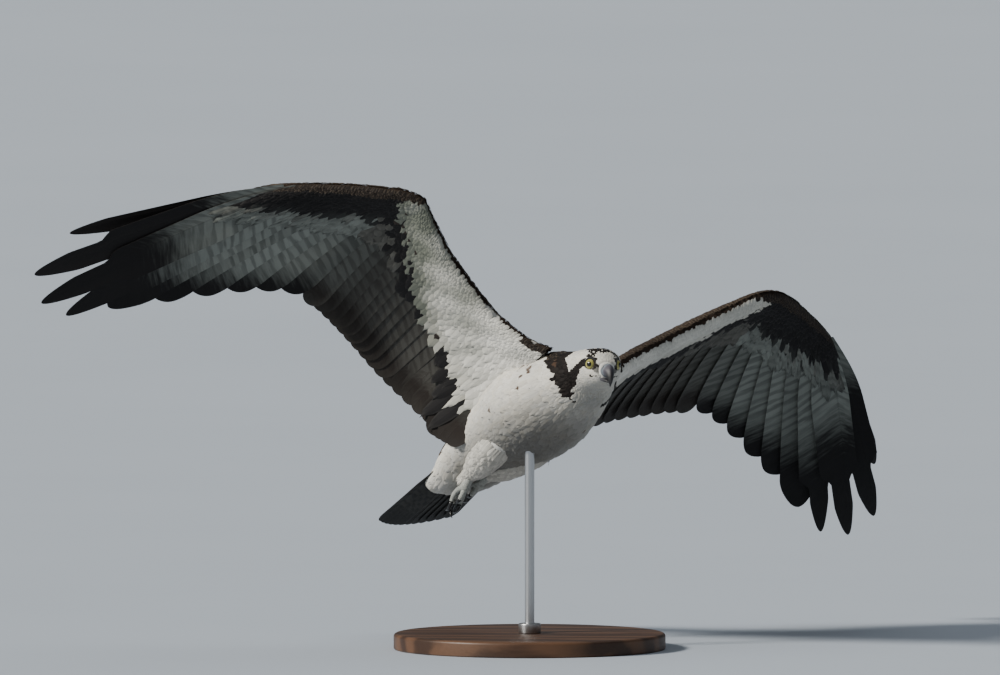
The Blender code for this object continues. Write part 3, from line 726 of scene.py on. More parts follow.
def on_wing(share, back, out, face, side):
    """The left (side 1) or right wing's upper (face 1) or under side, back from 0 to 1 along the chord.

    The middle surface arches over the chord; the wing is thick over the bones at its leading edge and
    thins to the vanes behind, and the outer primaries bend upward toward their tips. out metres proud.
    """
    lead, chord, up, sweep = wing_frame(share)
    length = size_of(chord)
    held = np.clip(back, 0, 1.1)
    forward, above, outward = (0.001 * np.interp(share, HELD_AT, row) for row in HELD[side])
    outer = share_of((share - 1.5) / 0.15)
    fade = share_of(1 - held) ** 2
    low = above * (fade * (1 - outer) + outer)
    arch = length * held * (1 - held) * (2 + 3.4 * held)
    rise = np.interp(share, (0, 1, 1.5, 1.75, 2), (0.055, 0.045, 0.015, -0.01, -0.032)) * arch + low
    bow = np.interp(share, (1, 1.8, 1.95), (0.0, 0.006 - 0.008 * side, 0.015 - 0.007 * side)) * arch
    full = 0.020 - 0.008 * share_of((share - 0.7) / 0.7)
    behind = held * length
    swell = np.sqrt(np.clip(behind / 0.016, 0.01, 1)) * np.exp(-np.clip(behind - 0.025, 0, None) / 0.032)
    thick = 0.5 * (VANE_THICK + (full - VANE_THICK) * swell) + out
    point = lead + chord * held[..., None] - unit(chord) * (forward * fade)[..., None]
    point = point + up * (rise + face * thick)[..., None] + sweep * (bow + outward * fade)[..., None]
    return point * (1, side, 1)


def on_tail(place, back):
    """The tail's middle surface, place -1 to 1 across it and back from root to tip."""
    length = size_of(TAIL_TIP - TAIL_ROOT) + 0.004 - 0.030 * place**2
    across = place * (0.041 + 0.009 * back) - 0.002 * back * (place < 0)
    drop = 0.006 * place**2 * back - 0.007 * back**1.5
    middle = TAIL_ROOT - (length * back)[..., None] * TAIL[0]
    return middle + across[..., None] * TAIL[1] - drop[..., None] * TAIL[2]


# The skin: one closed form for all the flesh. The body, the thighs and the fleshy front of both wings are
# run together into it. It lies under the outer form by the coat's depth and carries the same markings.
THIGHS = {
    -1: (
        (-0.118, -0.028, -0.055, 0.0245),
        (-0.162, -0.026, -0.061, 0.0215),
        (-0.196, -0.023, -0.063, 0.0172),
        (-0.219, -0.022, -0.065, 0.0100),
    ),
    1: (
        (-0.118, 0.024, -0.050, 0.026),
        (-0.162, 0.019, -0.053, 0.0220),
        (-0.197, 0.012, -0.055, 0.0180),
        (-0.221, 0.006, -0.056, 0.0100),
    ),
}


def on_thigh(t, angle, out, side):
    """A thigh's outer form: round its axis from hip, t = 0, to heel, t = 3."""
    row = spline(THIGHS[side], t)
    held = np.clip(t, 0.05, 2.95)
    ahead = unit((spline(THIGHS[side], held + 0.05) - spline(THIGHS[side], held - 0.05))[..., :3])
    left = unit(np.cross(UPRIGHT, ahead))
    above = np.cross(ahead, left)
    past = 0.024 * np.clip(t - 3, 0, None)[..., None]
    radial = np.cos(angle)[..., None] * left + np.sin(angle)[..., None] * above
    return row[..., :3] + past * ahead + (row[..., 3:] * (1 - 12 * past) + out[..., None]) * radial


def skin_finish():
    """Skin and down under the feathers: the markings' own colour, dull, with a fine downy grain."""
    made, shader, start = finish_for("skin_and_down", Roughness=0.85, Specular_IOR_Level=0.2)
    down = start.grain(start.place(), 900.0, 4.0)
    shade = start.colour_kept("pale").scaled(0.62 + down * 0.5)
    feed(shader, Base_Color=shade, Normal=down.bump(0.6, 0.0006))
    return made


SKIN_VOXEL = 0.0022
down_skin = skin_finish()


def flesh_form(name, points):
    """A closed form that becomes part of the skin."""
    return surface(name, points[None], down_skin, "white_feather", True, True)


stations, turns = grid(np.linspace(0, LAST_STATION, 150), circle(72))
skin = flesh_form("skin", on_body(stations, turns, -np.interp(stations, COAT_AT, COAT_DEEP)))
fleshy = [skin]
for side in (-1, 1):
    t, around = grid(np.linspace(0, 2.9, 40), circle(40))
    fleshy.append(flesh_form(f"leg_form_{side}", on_thigh(t, around, np.full(t.shape, -0.003), side)))
    q = np.linspace(0.02, 1.9, 150)
    reach = (0.070 - 0.028 * share_of((q - 0.7) / 0.5)) / size_of(wing_frame(q)[1])
    share = 0.5 - 0.5 * np.cos(np.linspace(0, math.pi, 12))
    ring = np.concatenate([share, share[-2:0:-1]])
    face = np.repeat((1, -1), (12, 10))
    spread = 0 * q[:, None] * ring
    flesh = on_wing(q[:, None] + spread, reach[:, None] * ring + 0.012, spread - 0.0008, face, side)
    fleshy.append(flesh_form(f"wing_form_{side}", flesh[:, ::-side]))
for piece in bpy.context.view_layer.objects:
    piece.select_set(piece in fleshy)
bpy.context.view_layer.objects.active = skin
bpy.ops.object.join()
run_together(skin, SKIN_VOXEL)
skin.select_set(False)

# The skin's colour at each of its points, read from the same markings as the feathers
near = np.empty(len(skin.data.vertices) * 3, np.float32)
skin.data.vertices.foreach_get("co", near)
near = (near.reshape(-1, 3) - SHOULDERS) @ BIRD.T
centres = spline(BODY, np.linspace(0, LAST_STATION, 10 * LAST_STATION + 1))[None, :, :3]
station = np.argmin(size_of(near[:, None] - centres), axis=1) / 10
row = spline(BODY, station)
offset = near - row[:, :3]
left, above = section_ways(row)
angle = np.arctan2((offset * above).sum(1), (offset * left).sum(1))
wing_share = np.interp(np.abs(near[:, 1]), wing_table[:, 1], wing_places)
lead, chord, lift, _ = wing_frame(wing_share)
from_lead = near * np.where(near[:, 1:2] < 0, (1, -1, 1), 1) - lead
length = size_of(chord)
back = (from_lead * chord).sum(1) / length**2
above_wing = (from_lead * lift).sum(1) - 0.22 * length * back * (1 - back)
dark_wing = (above_wing > 0) | (back * length < 0.008) | (back > np.interp(wing_share, WHITE_TO_AT, WHITE_TO))
dark = np.where(np.abs(near[:, 1]) > 0.062, dark_wing, body_dark(station, angle, 0 * station))[:, None]
mark(skin, "pale", WHITE * (1 - dark) + CHOCOLATE * dark)
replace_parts(skin, "trunk", "neck", "head", "thigh_left", "thigh_right")


# The body's coat: short overlapping contour feathers, rooted in rows from the tail coverts forward, each
# lying toward the tail. They are long over the tail's root and smallest about the bill and eyes.
FEATHER_AT = (0.0, 2.0, 4.0, 7.5, 8.5, 9.5, 10.5, 11.5, 13.0, 15.0)
FEATHER_LONG = (0.046, 0.040, 0.027, 0.024, 0.018, 0.0125, 0.0090, 0.0068, 0.0052, 0.0034)
FEATHER_HALF = (0.0075, 0.0072, 0.0064, 0.0060, 0.0045, 0.0031, 0.0023, 0.0018, 0.0014, 0.0009)
EYE_CLEAR = 0.0068

arc_at = np.linspace(0, LAST_STATION, 100 * LAST_STATION + 1)
arc = np.concatenate([[0], np.cumsum(size_of(np.diff(spline(BODY, arc_at)[:, :3], axis=0)))])


def body_roots(start, end, rng):
    """Stations and angles of feather roots, in staggered rows about a quarter of a feather apart."""
    t, angle = [], []
    s, last = np.interp((start, end), arc_at, arc)
    while s < last:
        place = np.interp(s, arc, arc_at)
        step = 0.26 * np.interp(place, FEATHER_AT, FEATHER_LONG)
        ring = on_body(np.full(48, place), np.linspace(0, 2 * math.pi, 48), np.zeros(48))
        around = size_of(np.diff(ring, axis=0)).sum()
        count = max(int(around / (0.92 * np.interp(place, FEATHER_AT, FEATHER_HALF))), 6)
        t.append(place + rng.normal(0, 0.16, count) * step * 40)
        shift = 0.5 * (len(t) % 2 == 0) + rng.normal(0, 0.14, count)
        angle.append((np.arange(count) + shift) * 2 * math.pi / count)
        s += step
    return np.concatenate(t), np.concatenate(angle)


def body_white(t, angle, shown_t, shown_angle, rough, rng):
    """The body's white: warmer in places, painted darker down the belly and low flanks as painted shade, grey
    on the lores.
    """
    swirl = np.sin(2.3 * t + 2.2 * angle) * np.sin(1.3 * t - 3.1 * angle + 1)
    warm = (rng.uniform(0, 0.6, len(t)) ** 2 + 0.15 + 0.15 * swirl)[:, None]
    low = below_level(shown_angle)
    # Painted shade: the white is painted darker the further below level it faces, most on the belly and low
    # flanks.
    unshaded = 1 - np.interp(low, (0, 30, 70), (0, 0.22, 0.52)) * np.interp(t, (0, 3, 9.5, 12), (0.5, 1, 1, 0.7))
    unshaded = unshaded - np.interp(t, (2.5, 4.0, 7.0, 8.5), (0, 0.25, 0.22, 0)) * share_of((low - 12) / 30)
    bright = rng.uniform(0.86, 1.0, len(t)) * (0.92 + 0.08 * swirl) * unshaded
    lores = inside_strokes(on_body(shown_t, shown_angle, 0 * t), LORE_STROKES) / 0.002
    grey = 0.75 * share_of(lores + 0.3 * rough) * (t > 10)
    return (WHITE * (1 - warm) + CREAM * warm) * (bright * (1 - grey))[:, None]


def body_coat(name, start, end, seed, rows):
    """One piece of the body's coat, from station start to end. No feather reaches over an eye."""
    rng = np.random.default_rng(seed)
    t, angle = body_roots(start, end, rng)
    t = np.clip(t, 0.3, 14.95)
    loose = np.interp(t, (0.0, 2.5, 4.0), (0.42, 0.24, 0.13))
    long = np.interp(t, FEATHER_AT, FEATHER_LONG) * (1 + loose * rng.uniform(-1, 1, len(t)))
    half = np.interp(t, FEATHER_AT, FEATHER_HALF) * rng.uniform(0.9, 1.15, len(t))
    roots = np.array([t, angle, long, half])
    roots = roots[:, eye_distance(on_body(t, angle, 0 * t)) > EYE_CLEAR - 0.0002]
    t, angle, long, half = roots
    deep = each(-np.interp(t, COAT_AT, COAT_DEEP))
    rise = (0.8 * deep, -0.15 * deep * rng.uniform(0.2, 1.6, deep.shape))
    points, shown_t, shown_angle = lay_feathers(on_body, t, angle, -1, long, half, rise, rng, rows, 5)
    clear = eye_distance(points).min(axis=(1, 2)) > EYE_CLEAR
    t, angle, long, half, shown_t, shown_angle = np.vstack([roots, shown_t, shown_angle])[:, clear]
    rough = rng.normal(0, 1, len(t))
    dark = body_dark(shown_t, shown_angle, rough) > 0.5
    white = body_white(t, angle, shown_t, shown_angle, rough, rng)
    brown = np.where(t[:, None] > 7.9, DARK_BROWN * 0.6, CHOCOLATE) * rng.uniform(0.6, 1.6, (len(t), 1))
    rufous = (rng.uniform(0, 1, len(t)) < 0.05) & (t > 7.9) & (t < 9.6)
    brown[rufous] = CHOCOLATE * (1.7, 1.5, 1.35)
    pale = np.where(dark[:, None], BUFF * 0.5, white)
    deep = np.where(dark[:, None], brown, white * 0.9)
    low = below_level(shown_angle)
    marks = np.column_stack([0 * t, np.where(dark, -0.5, 1.5), 0.5 * (dark & (low < -20) & (t < 9))])
    # A few brown-tipped white feathers on the flank, and more of them at the shoulder
    flank = ~dark & (t > 4.4) & (t < 8.1) & (low > -45) & (low < 62)
    often = np.interp(t, (4.4, 6.8, 7.0, 7.5, 7.6), (0.02, 0.05, 1.0, 1.0, 0.1))
    flank &= rng.uniform(0, 1, len(t)) < often * np.interp(low, (-45, -8, 8, 62), (0.6, 0.5, 0.12, 0.03))
    deep[flank] = CHOCOLATE * 2.6
    marks[flank] = (0.0, 0.80, 0.35)
    uv = round_uv(angle, np.interp(t, arc_at, arc / arc[-1]))
    sizes = np.column_stack([half, long])
    return coat(name, points[clear, :, ::-1], "white_feather", uv, pale, deep, marks, sizes, rng)


body_coat("trunk_feathers", 0.4, 8.4, 11, 7)
body_coat("head_feathers", 8.4, 14.8, 12, 6)


def leg_coat(side, word):
    """The trousers: soft white feathers down the thigh to the heel, in 28 rings of 30, their white painted
    darker as painted shade.
    """
    rng = np.random.default_rng(40 + side)
    t, around = grid(np.linspace(0.1, 2.95, 28), np.arange(30))
    around = around + 0.5 * (np.arange(28) % 2)[:, None] + rng.normal(0, 0.15, around.shape)
    angle = (around * 2 * math.pi / 30).ravel()
    t = (t + rng.normal(0, 0.02, t.shape)).ravel()
    long = 0.023 * rng.uniform(0.65, 1.3, len(t))
    half = 0.0046 * rng.uniform(0.9, 1.1, len(t))

    def over(u, v, out):
        return on_thigh(u, v, out, side)

    points, _, _ = lay_feathers(over, t, angle, 1, long, half, (-0.0024, 0.0006), rng)
    # Painted shade: the white is painted darker, about two thirds of its own tone, with a random spread
    # between feathers.
    white = (WHITE * 0.7 + CREAM * 0.3) * rng.uniform(0.55, 0.80, (len(t), 1))
    marks = np.tile((0.0, 1.5, 0.0), (len(t), 1))
    sizes = np.column_stack([half, long])
    uv = round_uv(angle, t / 3)
    return coat("trousers_" + word, points, "white_feather", uv, white, white, marks, sizes, rng)


for side, word in reversed(SIDES):
    leg_coat(side, word)

# Flight feathers: ten primaries on the hand, sixteen secondaries and two tertials on the arm, three on the
# near wing's, and twelve in the tail. Each is a stiff closed vane on a shaft, wider behind its shaft than
# before it, and tilted so that each lies over the next one out, as seen from above.
VANE_ROWS = 46
VANE_COLUMNS = 9
VANE_ALONG = 1 - (1 - np.linspace(0, 1, VANE_ROWS)) ** 1.5
TERTIALS = np.array([0.025, 0.060, 0.090])
SECONDARIES = 0.12 + 0.0555 * np.arange(16)
PRIMARIES = 1.05 + 0.1 * np.arange(10)
# By primary: how far along it is pale underneath, and how long its free finger is
PALE_TO = (0.84, 0.84, 0.83, 0.80, 0.74, 0.66, 0.56, 0.43, 0.20, -0.30)
PRIMARY_FREE = (0.012, 0.016, 0.022, 0.030, 0.040, 0.060, 0.092, 0.112, 0.108, 0.100)


def flight_vanes(centre, up, outward, inner, outer, thick, tilt):
    """Closed vanes from their middle lines: feather, row.

    The vane reaches inner metres to one side of its middle line and outer to the other, its upper and
    under sides a shell thickest at the shaft. It is turned about its line by tilt, outer side up.
    """
    along = unit(np.gradient(centre, axis=1))
    side = unit(np.cross(up, along))
    side = side * np.sign((side * outward).sum(axis=2, keepdims=True))
    lift = np.cross(side, along)
    lift = unit(lift * np.sign((lift * up).sum(axis=2, keepdims=True)))
    place = np.linspace(-1, 1, VANE_COLUMNS)
    reach = np.where(place < 0, inner[..., None] * place, outer[..., None] * place)
    camber = -0.06 * reach**2 / np.maximum(inner[..., None], 1e-4)
    shell = thick[..., None] * (0.22 + 0.78 * np.exp(-((reach / 0.0022) ** 2)))
    y = (inner - outer)[..., None] / 2 + reach
    middle = centre[:, :, None] + y[..., None] * side[:, :, None]
    height = tilt * y + camber
    top, bottom = (middle + (height + way * shell)[..., None] * lift[:, :, None] for way in (1, -1))
    return np.concatenate([top, bottom[:, :, ::-1]], axis=2)


def flight_piece(name, points, slot, pale, deep, marks, sizes, rng):
    """One piece of flight feathers. pale, deep and marks hold the upper side's values, then the under's."""
    count, rows, around = points.shape[:3]
    half = around // 2
    piece = surface(name, points, plumage, slot, True, True)
    piece.data.set_sharp_from_angle(angle=math.radians(60))
    top = (np.arange(around) < half)[:, None]
    looks = (np.where(top, each(upper), each(lower)) for upper, lower in (pale, deep, marks))
    across = np.concatenate([np.linspace(-1, 1, half), np.linspace(1, -1, half)])
    keep_looks(piece, (count, rows, around), across, VANE_ALONG, *looks, sizes, rng)
    # Each feather has its own lane of the OFBake map, upper side beside under side
    strip = np.concatenate([np.linspace(0.02, 0.48, half), np.linspace(0.98, 0.52, half)])
    lane = (each(np.arange(count)) + strip) / count
    unwrap(piece, "OFBake", np.stack(np.broadcast_arrays(lane, 0.01 + 0.98 * VANE_ALONG[None, :, None]), -1))
    return piece


def vane_width(reach, full, blunt, pointed=0):
    """How wide a vane is by the distance to its tip: full, then rounded off or drawn to a point."""
    rounded = np.sqrt(np.clip(1 - share_of(1 - reach / blunt) ** 2, 0.0005, 1))
    drawn = np.clip(reach / blunt, 0.0006, 1) ** 0.52
    return full * ((1 - pointed) * rounded + pointed * drawn)


def line_length(centre):
    """How long each feather's middle line is."""
    return size_of(np.diff(centre, axis=1)).sum(axis=1)


def wing_flight(side, word):
    """All the flight feathers of one wing. The outer primaries narrow to free fingers toward their tips."""
    rng = np.random.default_rng(5)
    q = np.concatenate([TERTIALS[side > 0:], SECONDARIES, PRIMARIES])
    hand = q > 1
    on_hand = hand[:, None]
    start = np.where(hand, 0.04, 0.14)
    last = (1.0, 0.965, 0.975, 0.990, 1.0, 0.985 - 0.012 * side, 1.0)
    end = np.interp(q, (1.0, 1.05, 1.15, 1.25, 1.35, 1.45, 1.55), last)
    end[q < 0.13] = 1.04 if side < 0 else 0.90
    back = start[:, None] + (end - start)[:, None] * VANE_ALONG
    centre = on_wing(q[:, None] + 0 * back, back, np.full(back.shape, -0.0008), 0 * back, side)
    _, _, up, sweep = (row[:, None] * (1, side, 1) for row in wing_frame(q))
    length = line_length(centre)
    reach = length[:, None] * (1 - VANE_ALONG)
    opening = 0.25 + 0.75 * np.sin(0.5 * math.pi * share_of(VANE_ALONG / 0.35))
    free = np.concatenate([np.zeros(len(q) - 10), PRIMARY_FREE])[:, None]
    finger = share_of((free - reach) / 0.022 + 0.5) * (free > 0.08)
    finger = finger * finger * (3 - 2 * finger)
    slim = 0.85 if side > 0 else 1.0
    inner = np.where(on_hand, 0.0350, 0.0230) * (1 - finger) + 0.0188 * slim * finger
    outer = np.where(on_hand, 0.0150, 0.0100) * (1 - finger) + 0.0098 * slim * finger
    inner = np.where(q[:, None] > 1.9, 0.0150, inner)
    outer = np.where(q[:, None] > 1.9, 0.0060, outer)
    pointed = np.interp(free, (0.040, 0.060), (0.0, 1.0))
    blunt = np.interp(free, (0.040, 0.080), (0.0, 0.038))
    inner = vane_width(reach, inner * opening, np.where(on_hand, 0.042 - 0.6 * blunt, 0.026) + blunt, pointed)
    outer = vane_width(reach, outer * opening, 0.015 + blunt, pointed)
    thick = 0.0011 * (1 - 0.8 * VANE_ALONG) + 0 * reach
    tilt = each(np.where(hand, 0.045, 0.035))
    points = flight_vanes(centre, np.broadcast_to(up, centre.shape), sweep, inner, outer, thick, tilt)

    tone = rng.uniform(0.85, 1.15, (len(q), 1))
    inward = share_of((q - 0.85) / 0.4)[:, None]
    lower_pale = (SMOKE * 0.9 * (1 - inward) + STONE * inward) * tone
    lower_pale[q < 0.13] *= 0.5
    ending = np.where(hand, np.interp(q, PRIMARIES, PALE_TO), 0.80)
    upper_marks = np.tile((0.35, 0.30, 0.25), (len(q), 1))
    lower_marks = np.column_stack([np.where(hand, 0.40, 0.45), ending, np.where(hand, 0.0, 0.25)])
    upper_deep = np.where(on_hand, DARK_BROWN, CHOCOLATE) * tone
    lower_deep = np.where(on_hand, BLACKISH * 1.4, DARK_BROWN) * tone
    looks = [(CHOCOLATE * 1.5 * tone, lower_pale), (upper_deep, lower_deep), (upper_marks, lower_marks)]
    if side < 0:
        points, looks = points[:, :, ::-1], [pair[::-1] for pair in looks]
    sizes = np.column_stack([np.full(len(q), 0.018), length])
    return flight_piece("flight_feathers_" + word, points, "dark_feather", *looks, sizes, rng)


for side, word in SIDES:
    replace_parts(wing_flight(side, word), f"wing_{word}_arm", f"wing_{word}_hand")


def tail_flight():
    """The twelve feathers of the tail, the middle pair on top."""
    rng = np.random.default_rng(9)
    place = (np.arange(12) - 5.5) / 5.9
    back = VANE_ALONG + 0 * place[:, None]
    centre = on_tail(place[:, None] + 0 * back, back)
    length = line_length(centre)
    reach = length[:, None] * (1 - VANE_ALONG)
    opening = 0.5 + 0.5 * share_of(VANE_ALONG / 0.4) + 0 * reach
    inner = vane_width(reach, 0.0120 * opening, 0.022)
    outer = vane_width(reach, 0.0075 * opening, 0.020)
    thick = 0.0010 * (1 - 0.8 * VANE_ALONG) + 0 * reach
    outward = each(np.sign(place)) * TAIL[1]
    points = flight_vanes(centre, np.broadcast_to(TAIL[2], centre.shape), outward, inner, outer, thick, 0.05)
    points[:6] = points[:6, :, ::-1]
    tone = rng.uniform(0.85, 1.15, (12, 1))
    # The right half's feathers are turned over, so their upper side comes second
    turned = place[:, None] < 0
    # The under side's pale is painted near black: painted shade under the tail. Its dark bars are its own.
    pale, deep = (
        (np.where(turned, under, over) * tone, np.where(turned, over, under) * tone)
        for over, under in ((CHOCOLATE * 2.2, SMOKE * 0.36), (CHOCOLATE, BLACKISH))
    )
    marks = np.tile((0.8, 0.80, 0.4), (12, 1))
    sizes = np.column_stack([np.full(12, 0.012), length])
    return flight_piece("tail_feathers", points, "barred_feather", pale, deep, (marks, marks), sizes, rng)


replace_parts(tail_flight(), "tail")


# Coverts: rows of smaller feathers over the roots of the flight feathers, above and below, shrinking to
# the tiny ones that wrap the leading edge. Underneath they are white out to a line that runs from the
# body's flank to the wrist, blackish along it and over the hand, and grey-brown where they end.
ROW_AT = (0.0, 0.02, 0.06, 0.12, 0.2)
ROW_LONG = (0.0060, 0.0130, 0.0240, 0.0340, 0.0420)
ROW_HALF = (0.0021, 0.0040, 0.0066, 0.0086, 0.0095)
LAST_ROW = 0.205
# How far behind the leading edge the last coverts root, by share of the way out: upper face and under
COVERTED = {
    1: ((0.0, 0.3, 1.0, 1.95), (0.100, 0.085, 0.060, 0.045)),
    -1: ((0.0, 0.15, 0.35, 0.6, 1.0, 1.5, 1.95), (0.160, 0.145, 0.105, 0.090, 0.070, 0.062, 0.05)),
}
# How far behind the leading edge the brown rim reaches underneath, and how far from the white the grey
# patch of the hand begins, by share of the way out
RIM_AT = (0.0, 0.12, 0.2, 0.85, 0.97, 1.2, 2.0)
RIM = (0.006, 0.003, -0.01, -0.002, 0.0045, 0.008, 0.006)
GREY_AT = (0.95, 1.1, 1.36, 1.59, 1.8, 2.0)
GREY_FROM = (0.27, 0.34, 0.35, 0.24, 0.24, 0.35)


def covert_roots(face, first, rng):
    """Roots of one side's coverts: share out, share back, length and half width, in staggered rows.

    Each row's feathers are longer over the hand, in the armpit and in the last row.
    """
    found = []
    ahead = 0.0
    while ahead < LAST_ROW:
        size = np.interp(ahead, ROW_AT, ROW_LONG)
        half = np.interp(ahead, ROW_AT, ROW_HALF)
        step = 1.15 * half / 0.30
        q = np.arange(0.006, 1.96, step) + (0.5 * step if len(found) % 2 else 0.0)
        q = q + rng.normal(0, 0.12, len(q)) * step
        length = size_of(wing_frame(q)[1])
        hand = share_of((q - 0.9) / 0.25)
        limit = np.interp(q, *COVERTED[face])
        back = ahead * (1 - 0.15 * hand)
        share = back / length
        keep = (q > first) & (back < limit) & (share < np.interp(q, (0.0, 0.04, 0.12), (0.12, 0.45, 1.0)))
        behind = share_of((back - 0.02) / 0.03)
        armpit = share_of((0.36 - q) / 0.2) * share_of((q - 0.05) / 0.08) * behind * (face < 0)
        last = share_of((back - limit + 0.016) / 0.016)
        grown = size * (1 + 0.75 * hand * behind) * (1 + 0.6 * armpit) * (1 + 0.5 * last)
        found.append(np.column_stack([q, share, grown, half * (1 + 0.25 * last)])[keep])
        ahead += 0.27 * size
    return np.vstack(found).T


def covert_colours(q, tip, root, face, side, rng):
    """Pale and deep colours and marks of coverts by where their tips lie.

    q is the share of the way out, tip the share back along the chord, root the metres behind the edge.
    """
    count = len(q)
    tone = rng.uniform(0.85, 1.2, (count, 1))
    rough = rng.normal(0, 0.025, count)
    marks = np.tile((0.0, -0.5, 0.55), (count, 1))
    if face > 0:
        return BUFF * 0.55 * tone, CHOCOLATE * tone, marks
    # White, warm near its edge, and greyed by painted shade toward the wrist. The near wing's wrist is white
    # further back
    white_to = np.interp(q, WHITE_TO_AT, WHITE_TO) + rough
    white_to = white_to + 0.07 * (side < 0) * np.interp(q, (0.70, 0.86, 1.0, 1.04), (0, 1, 1, 0))
    near_edge = share_of(1 - (white_to - tip) / 0.16)
    warm = (0.15 + 0.5 * near_edge * rng.uniform(0, 1, count))[:, None]
    swirl = 0.25 * np.sin(17 * q + 9 * tip) + 0.25 * np.sin(31 * q - 21 * tip + 2)
    # Painted shade: the white is painted toward a shaded grey-green, most at the wrist, in soft patches and
    # near its edge, and about a third as much on the far wing
    dull = np.interp(q, (0.02, 0.2, 0.35, 0.6, 0.95), (0.05, 0.26, 0.46, 0.76, 1.0))
    dull = share_of(dull + 0.50 * swirl + 0.30 * near_edge)[:, None] * (1.0 if side < 0 else 0.35)
    pale = (WHITE * (1 - warm) + CREAM * warm) * rng.uniform(0.84, 1.02, (count, 1))
    pale = pale * (1 - dull) + SHADED_WHITE * dull
    deep = pale * 0.9
    marks[:] = (0.0, 1.5, 0.0)

    def paint(where, low, high, kind):
        deep[where], pale[where], marks[where] = (low * tone)[where], (high * tone)[where], kind

    # Blackish beyond the white, then grey with bars toward the ends
    beyond = tip > white_to
    paint(beyond, BLACKISH * 1.6, SMOKE * 1.5, (0.0, -0.5, 0.10))
    rim = root < np.interp(q, RIM_AT, RIM)
    band = white_to + 0.15 + 0.05 * (q > 1)
    band = np.where(q > 0.97, np.maximum(band, np.interp(q, GREY_AT, GREY_FROM)), band)
    grey = share_of((tip - band - rough) / 0.08 + 0.5) * ~rim * (root > 0.012) * (q > 0.2)
    stony = np.where(q[:, None] > 1.0, STONE * 0.85, SMOKE * 1.4) * tone
    stony = stony * np.interp(q, (1.6, 1.85), (1.0, 0.72))[:, None]
    share = (grey * (grey > 0.02))[:, None]
    pale = pale * (1 - share) + stony * share
    deep = deep * (1 - share) + 0.45 * stony * share
    marks[grey > 0.3] = (0.35, 0.92, 0.12)
    # A few dark-tipped feathers near the white's edge, and the brown rim of the leading edge
    spots = (~beyond) & (near_edge > 0.35) & (rng.uniform(0, 1, count) < 0.06)
    deep[spots] = (DARK_BROWN * 1.6 * tone)[spots]
    marks[spots] = (0.0, 0.72, 0.0)
    paint(rim, DARK_BROWN * 1.1, BUFF * 0.4, (0.0, -0.5, 0.45))
    return pale, deep, marks


def coverts(side, face, word):
    """All the coverts of one face of one wing."""
    rng = np.random.default_rng(70 + face)
    q, back, long, half = covert_roots(face, 0.05 if side > 0 else 0.018, rng)
    back = np.clip(back + rng.normal(0, 0.006, len(q)), 0.0, 1)
    long = long * rng.uniform(0.88, 1.12, len(q))

    def over(u, v, out):
        return on_wing(v, u, out, face, side)

    rise = (-0.0003, each(0.0016 + 0.045 * long))
    turn = np.where(q > 1, 0.0, 0.05)
    points, shown, shown_q = lay_feathers(over, back, q, 1, long, half, rise, rng, turn=turn)
    # Where the wing's surface folds at its root or tip, a feather comes out bent or stretched. It is left out
    run = size_of(np.diff(points[:, :, 2], axis=1)).sum(axis=1)
    wide = size_of(points[:, 3, -1] - points[:, 3, 0])
    sound = (run < 1.3 * long) & (run > 0.5 * long) & (wide < 2.6 * half)
    q, back, long, half, shown, shown_q = np.array([q, back, long, half, shown, shown_q])[:, sound]
    points = points[sound][:, :, :: side * face]
    pale, deep, marks = covert_colours(shown_q, shown, back * size_of(wing_frame(q)[1]), face, side, rng)
    uv = np.column_stack([q / 2.1, back * 0.98])
    where, slot = ("upper", "dark_feather") if face > 0 else ("under", "barred_feather")
    sizes = np.column_stack([half, long])
    coat(f"{where}_coverts_{word}", points, slot, uv, pale, deep, marks, sizes, rng)


for side, word in SIDES:
    for face in (1, -1):
        coverts(side, face, word)


# The eyes: a wet domed cornea over a yellow iris with a round black pupil, and round it a thick dark lid
# that sits lower over the top of the eye than under it.
EYE_SIDE = unit(np.cross(UPRIGHT, EYE_LOOKS))
EYE_TOP = np.cross(EYE_LOOKS, EYE_SIDE)
CORNEA_HIGH, CORNEA_WIDE = 0.0006, 0.75
LID_OPEN = math.radians(54)


def round_eye(polar, around):
    """Ways from the eye's middle, polar radians off its axis and around it from its side up."""
    polar, around = np.broadcast_arrays(polar, around)
    return np.stack([np.sin(polar) * np.cos(around), np.sin(polar) * np.sin(around), np.cos(polar)], -1)


def on_side(ways, radius, side):
    """One grid of points, radius along ways from either eye's middle, in the bird's frame."""
    local = EYE_AT + radius[..., None] * (ways @ np.array([EYE_SIDE, EYE_TOP, EYE_LOOKS]))
    return from_head(local * (1, side, 1))[None, :, ::side]


def eye_finish():
    """Cornea over iris: black pupil, yellow iris with fine rays, a dark rim, a clear wet coat."""
    wet = {"Roughness": 0.30, "Specular_IOR_Level": 0.3, "Coat_Weight": 0.6, "Coat_Roughness": 0.015}
    made, shader, start = finish_for("wet_eye", **wet)
    aside, upward, ahead = start.parts_kept("sight")
    off = (aside * aside + upward * upward).math("SQRT")
    off = off + ahead.math("LESS_THAN", 0.0) * 2.0
    ray = start.vector(aside / (off + 0.02) * 9.0, upward / (off + 0.02) * 9.0, off * 2.0)
    yellow = off.between(0.34, 0.72).blend((0.36, 0.35, 0.08, 1), (0.60, 0.57, 0.22, 1))
    rayed = start.grain(ray, 1.6, 3.0).between(0.30, 0.75).blend((0.26, 0.23, 0.05, 1), yellow)
    rimmed = off.between(0.70, 0.78).blend(rayed, (0.012, 0.010, 0.008, 1))
    feed(shader, Base_Color=off.between(0.35, 0.38).blend((0.002, 0.002, 0.002, 1), rimmed))
    return made


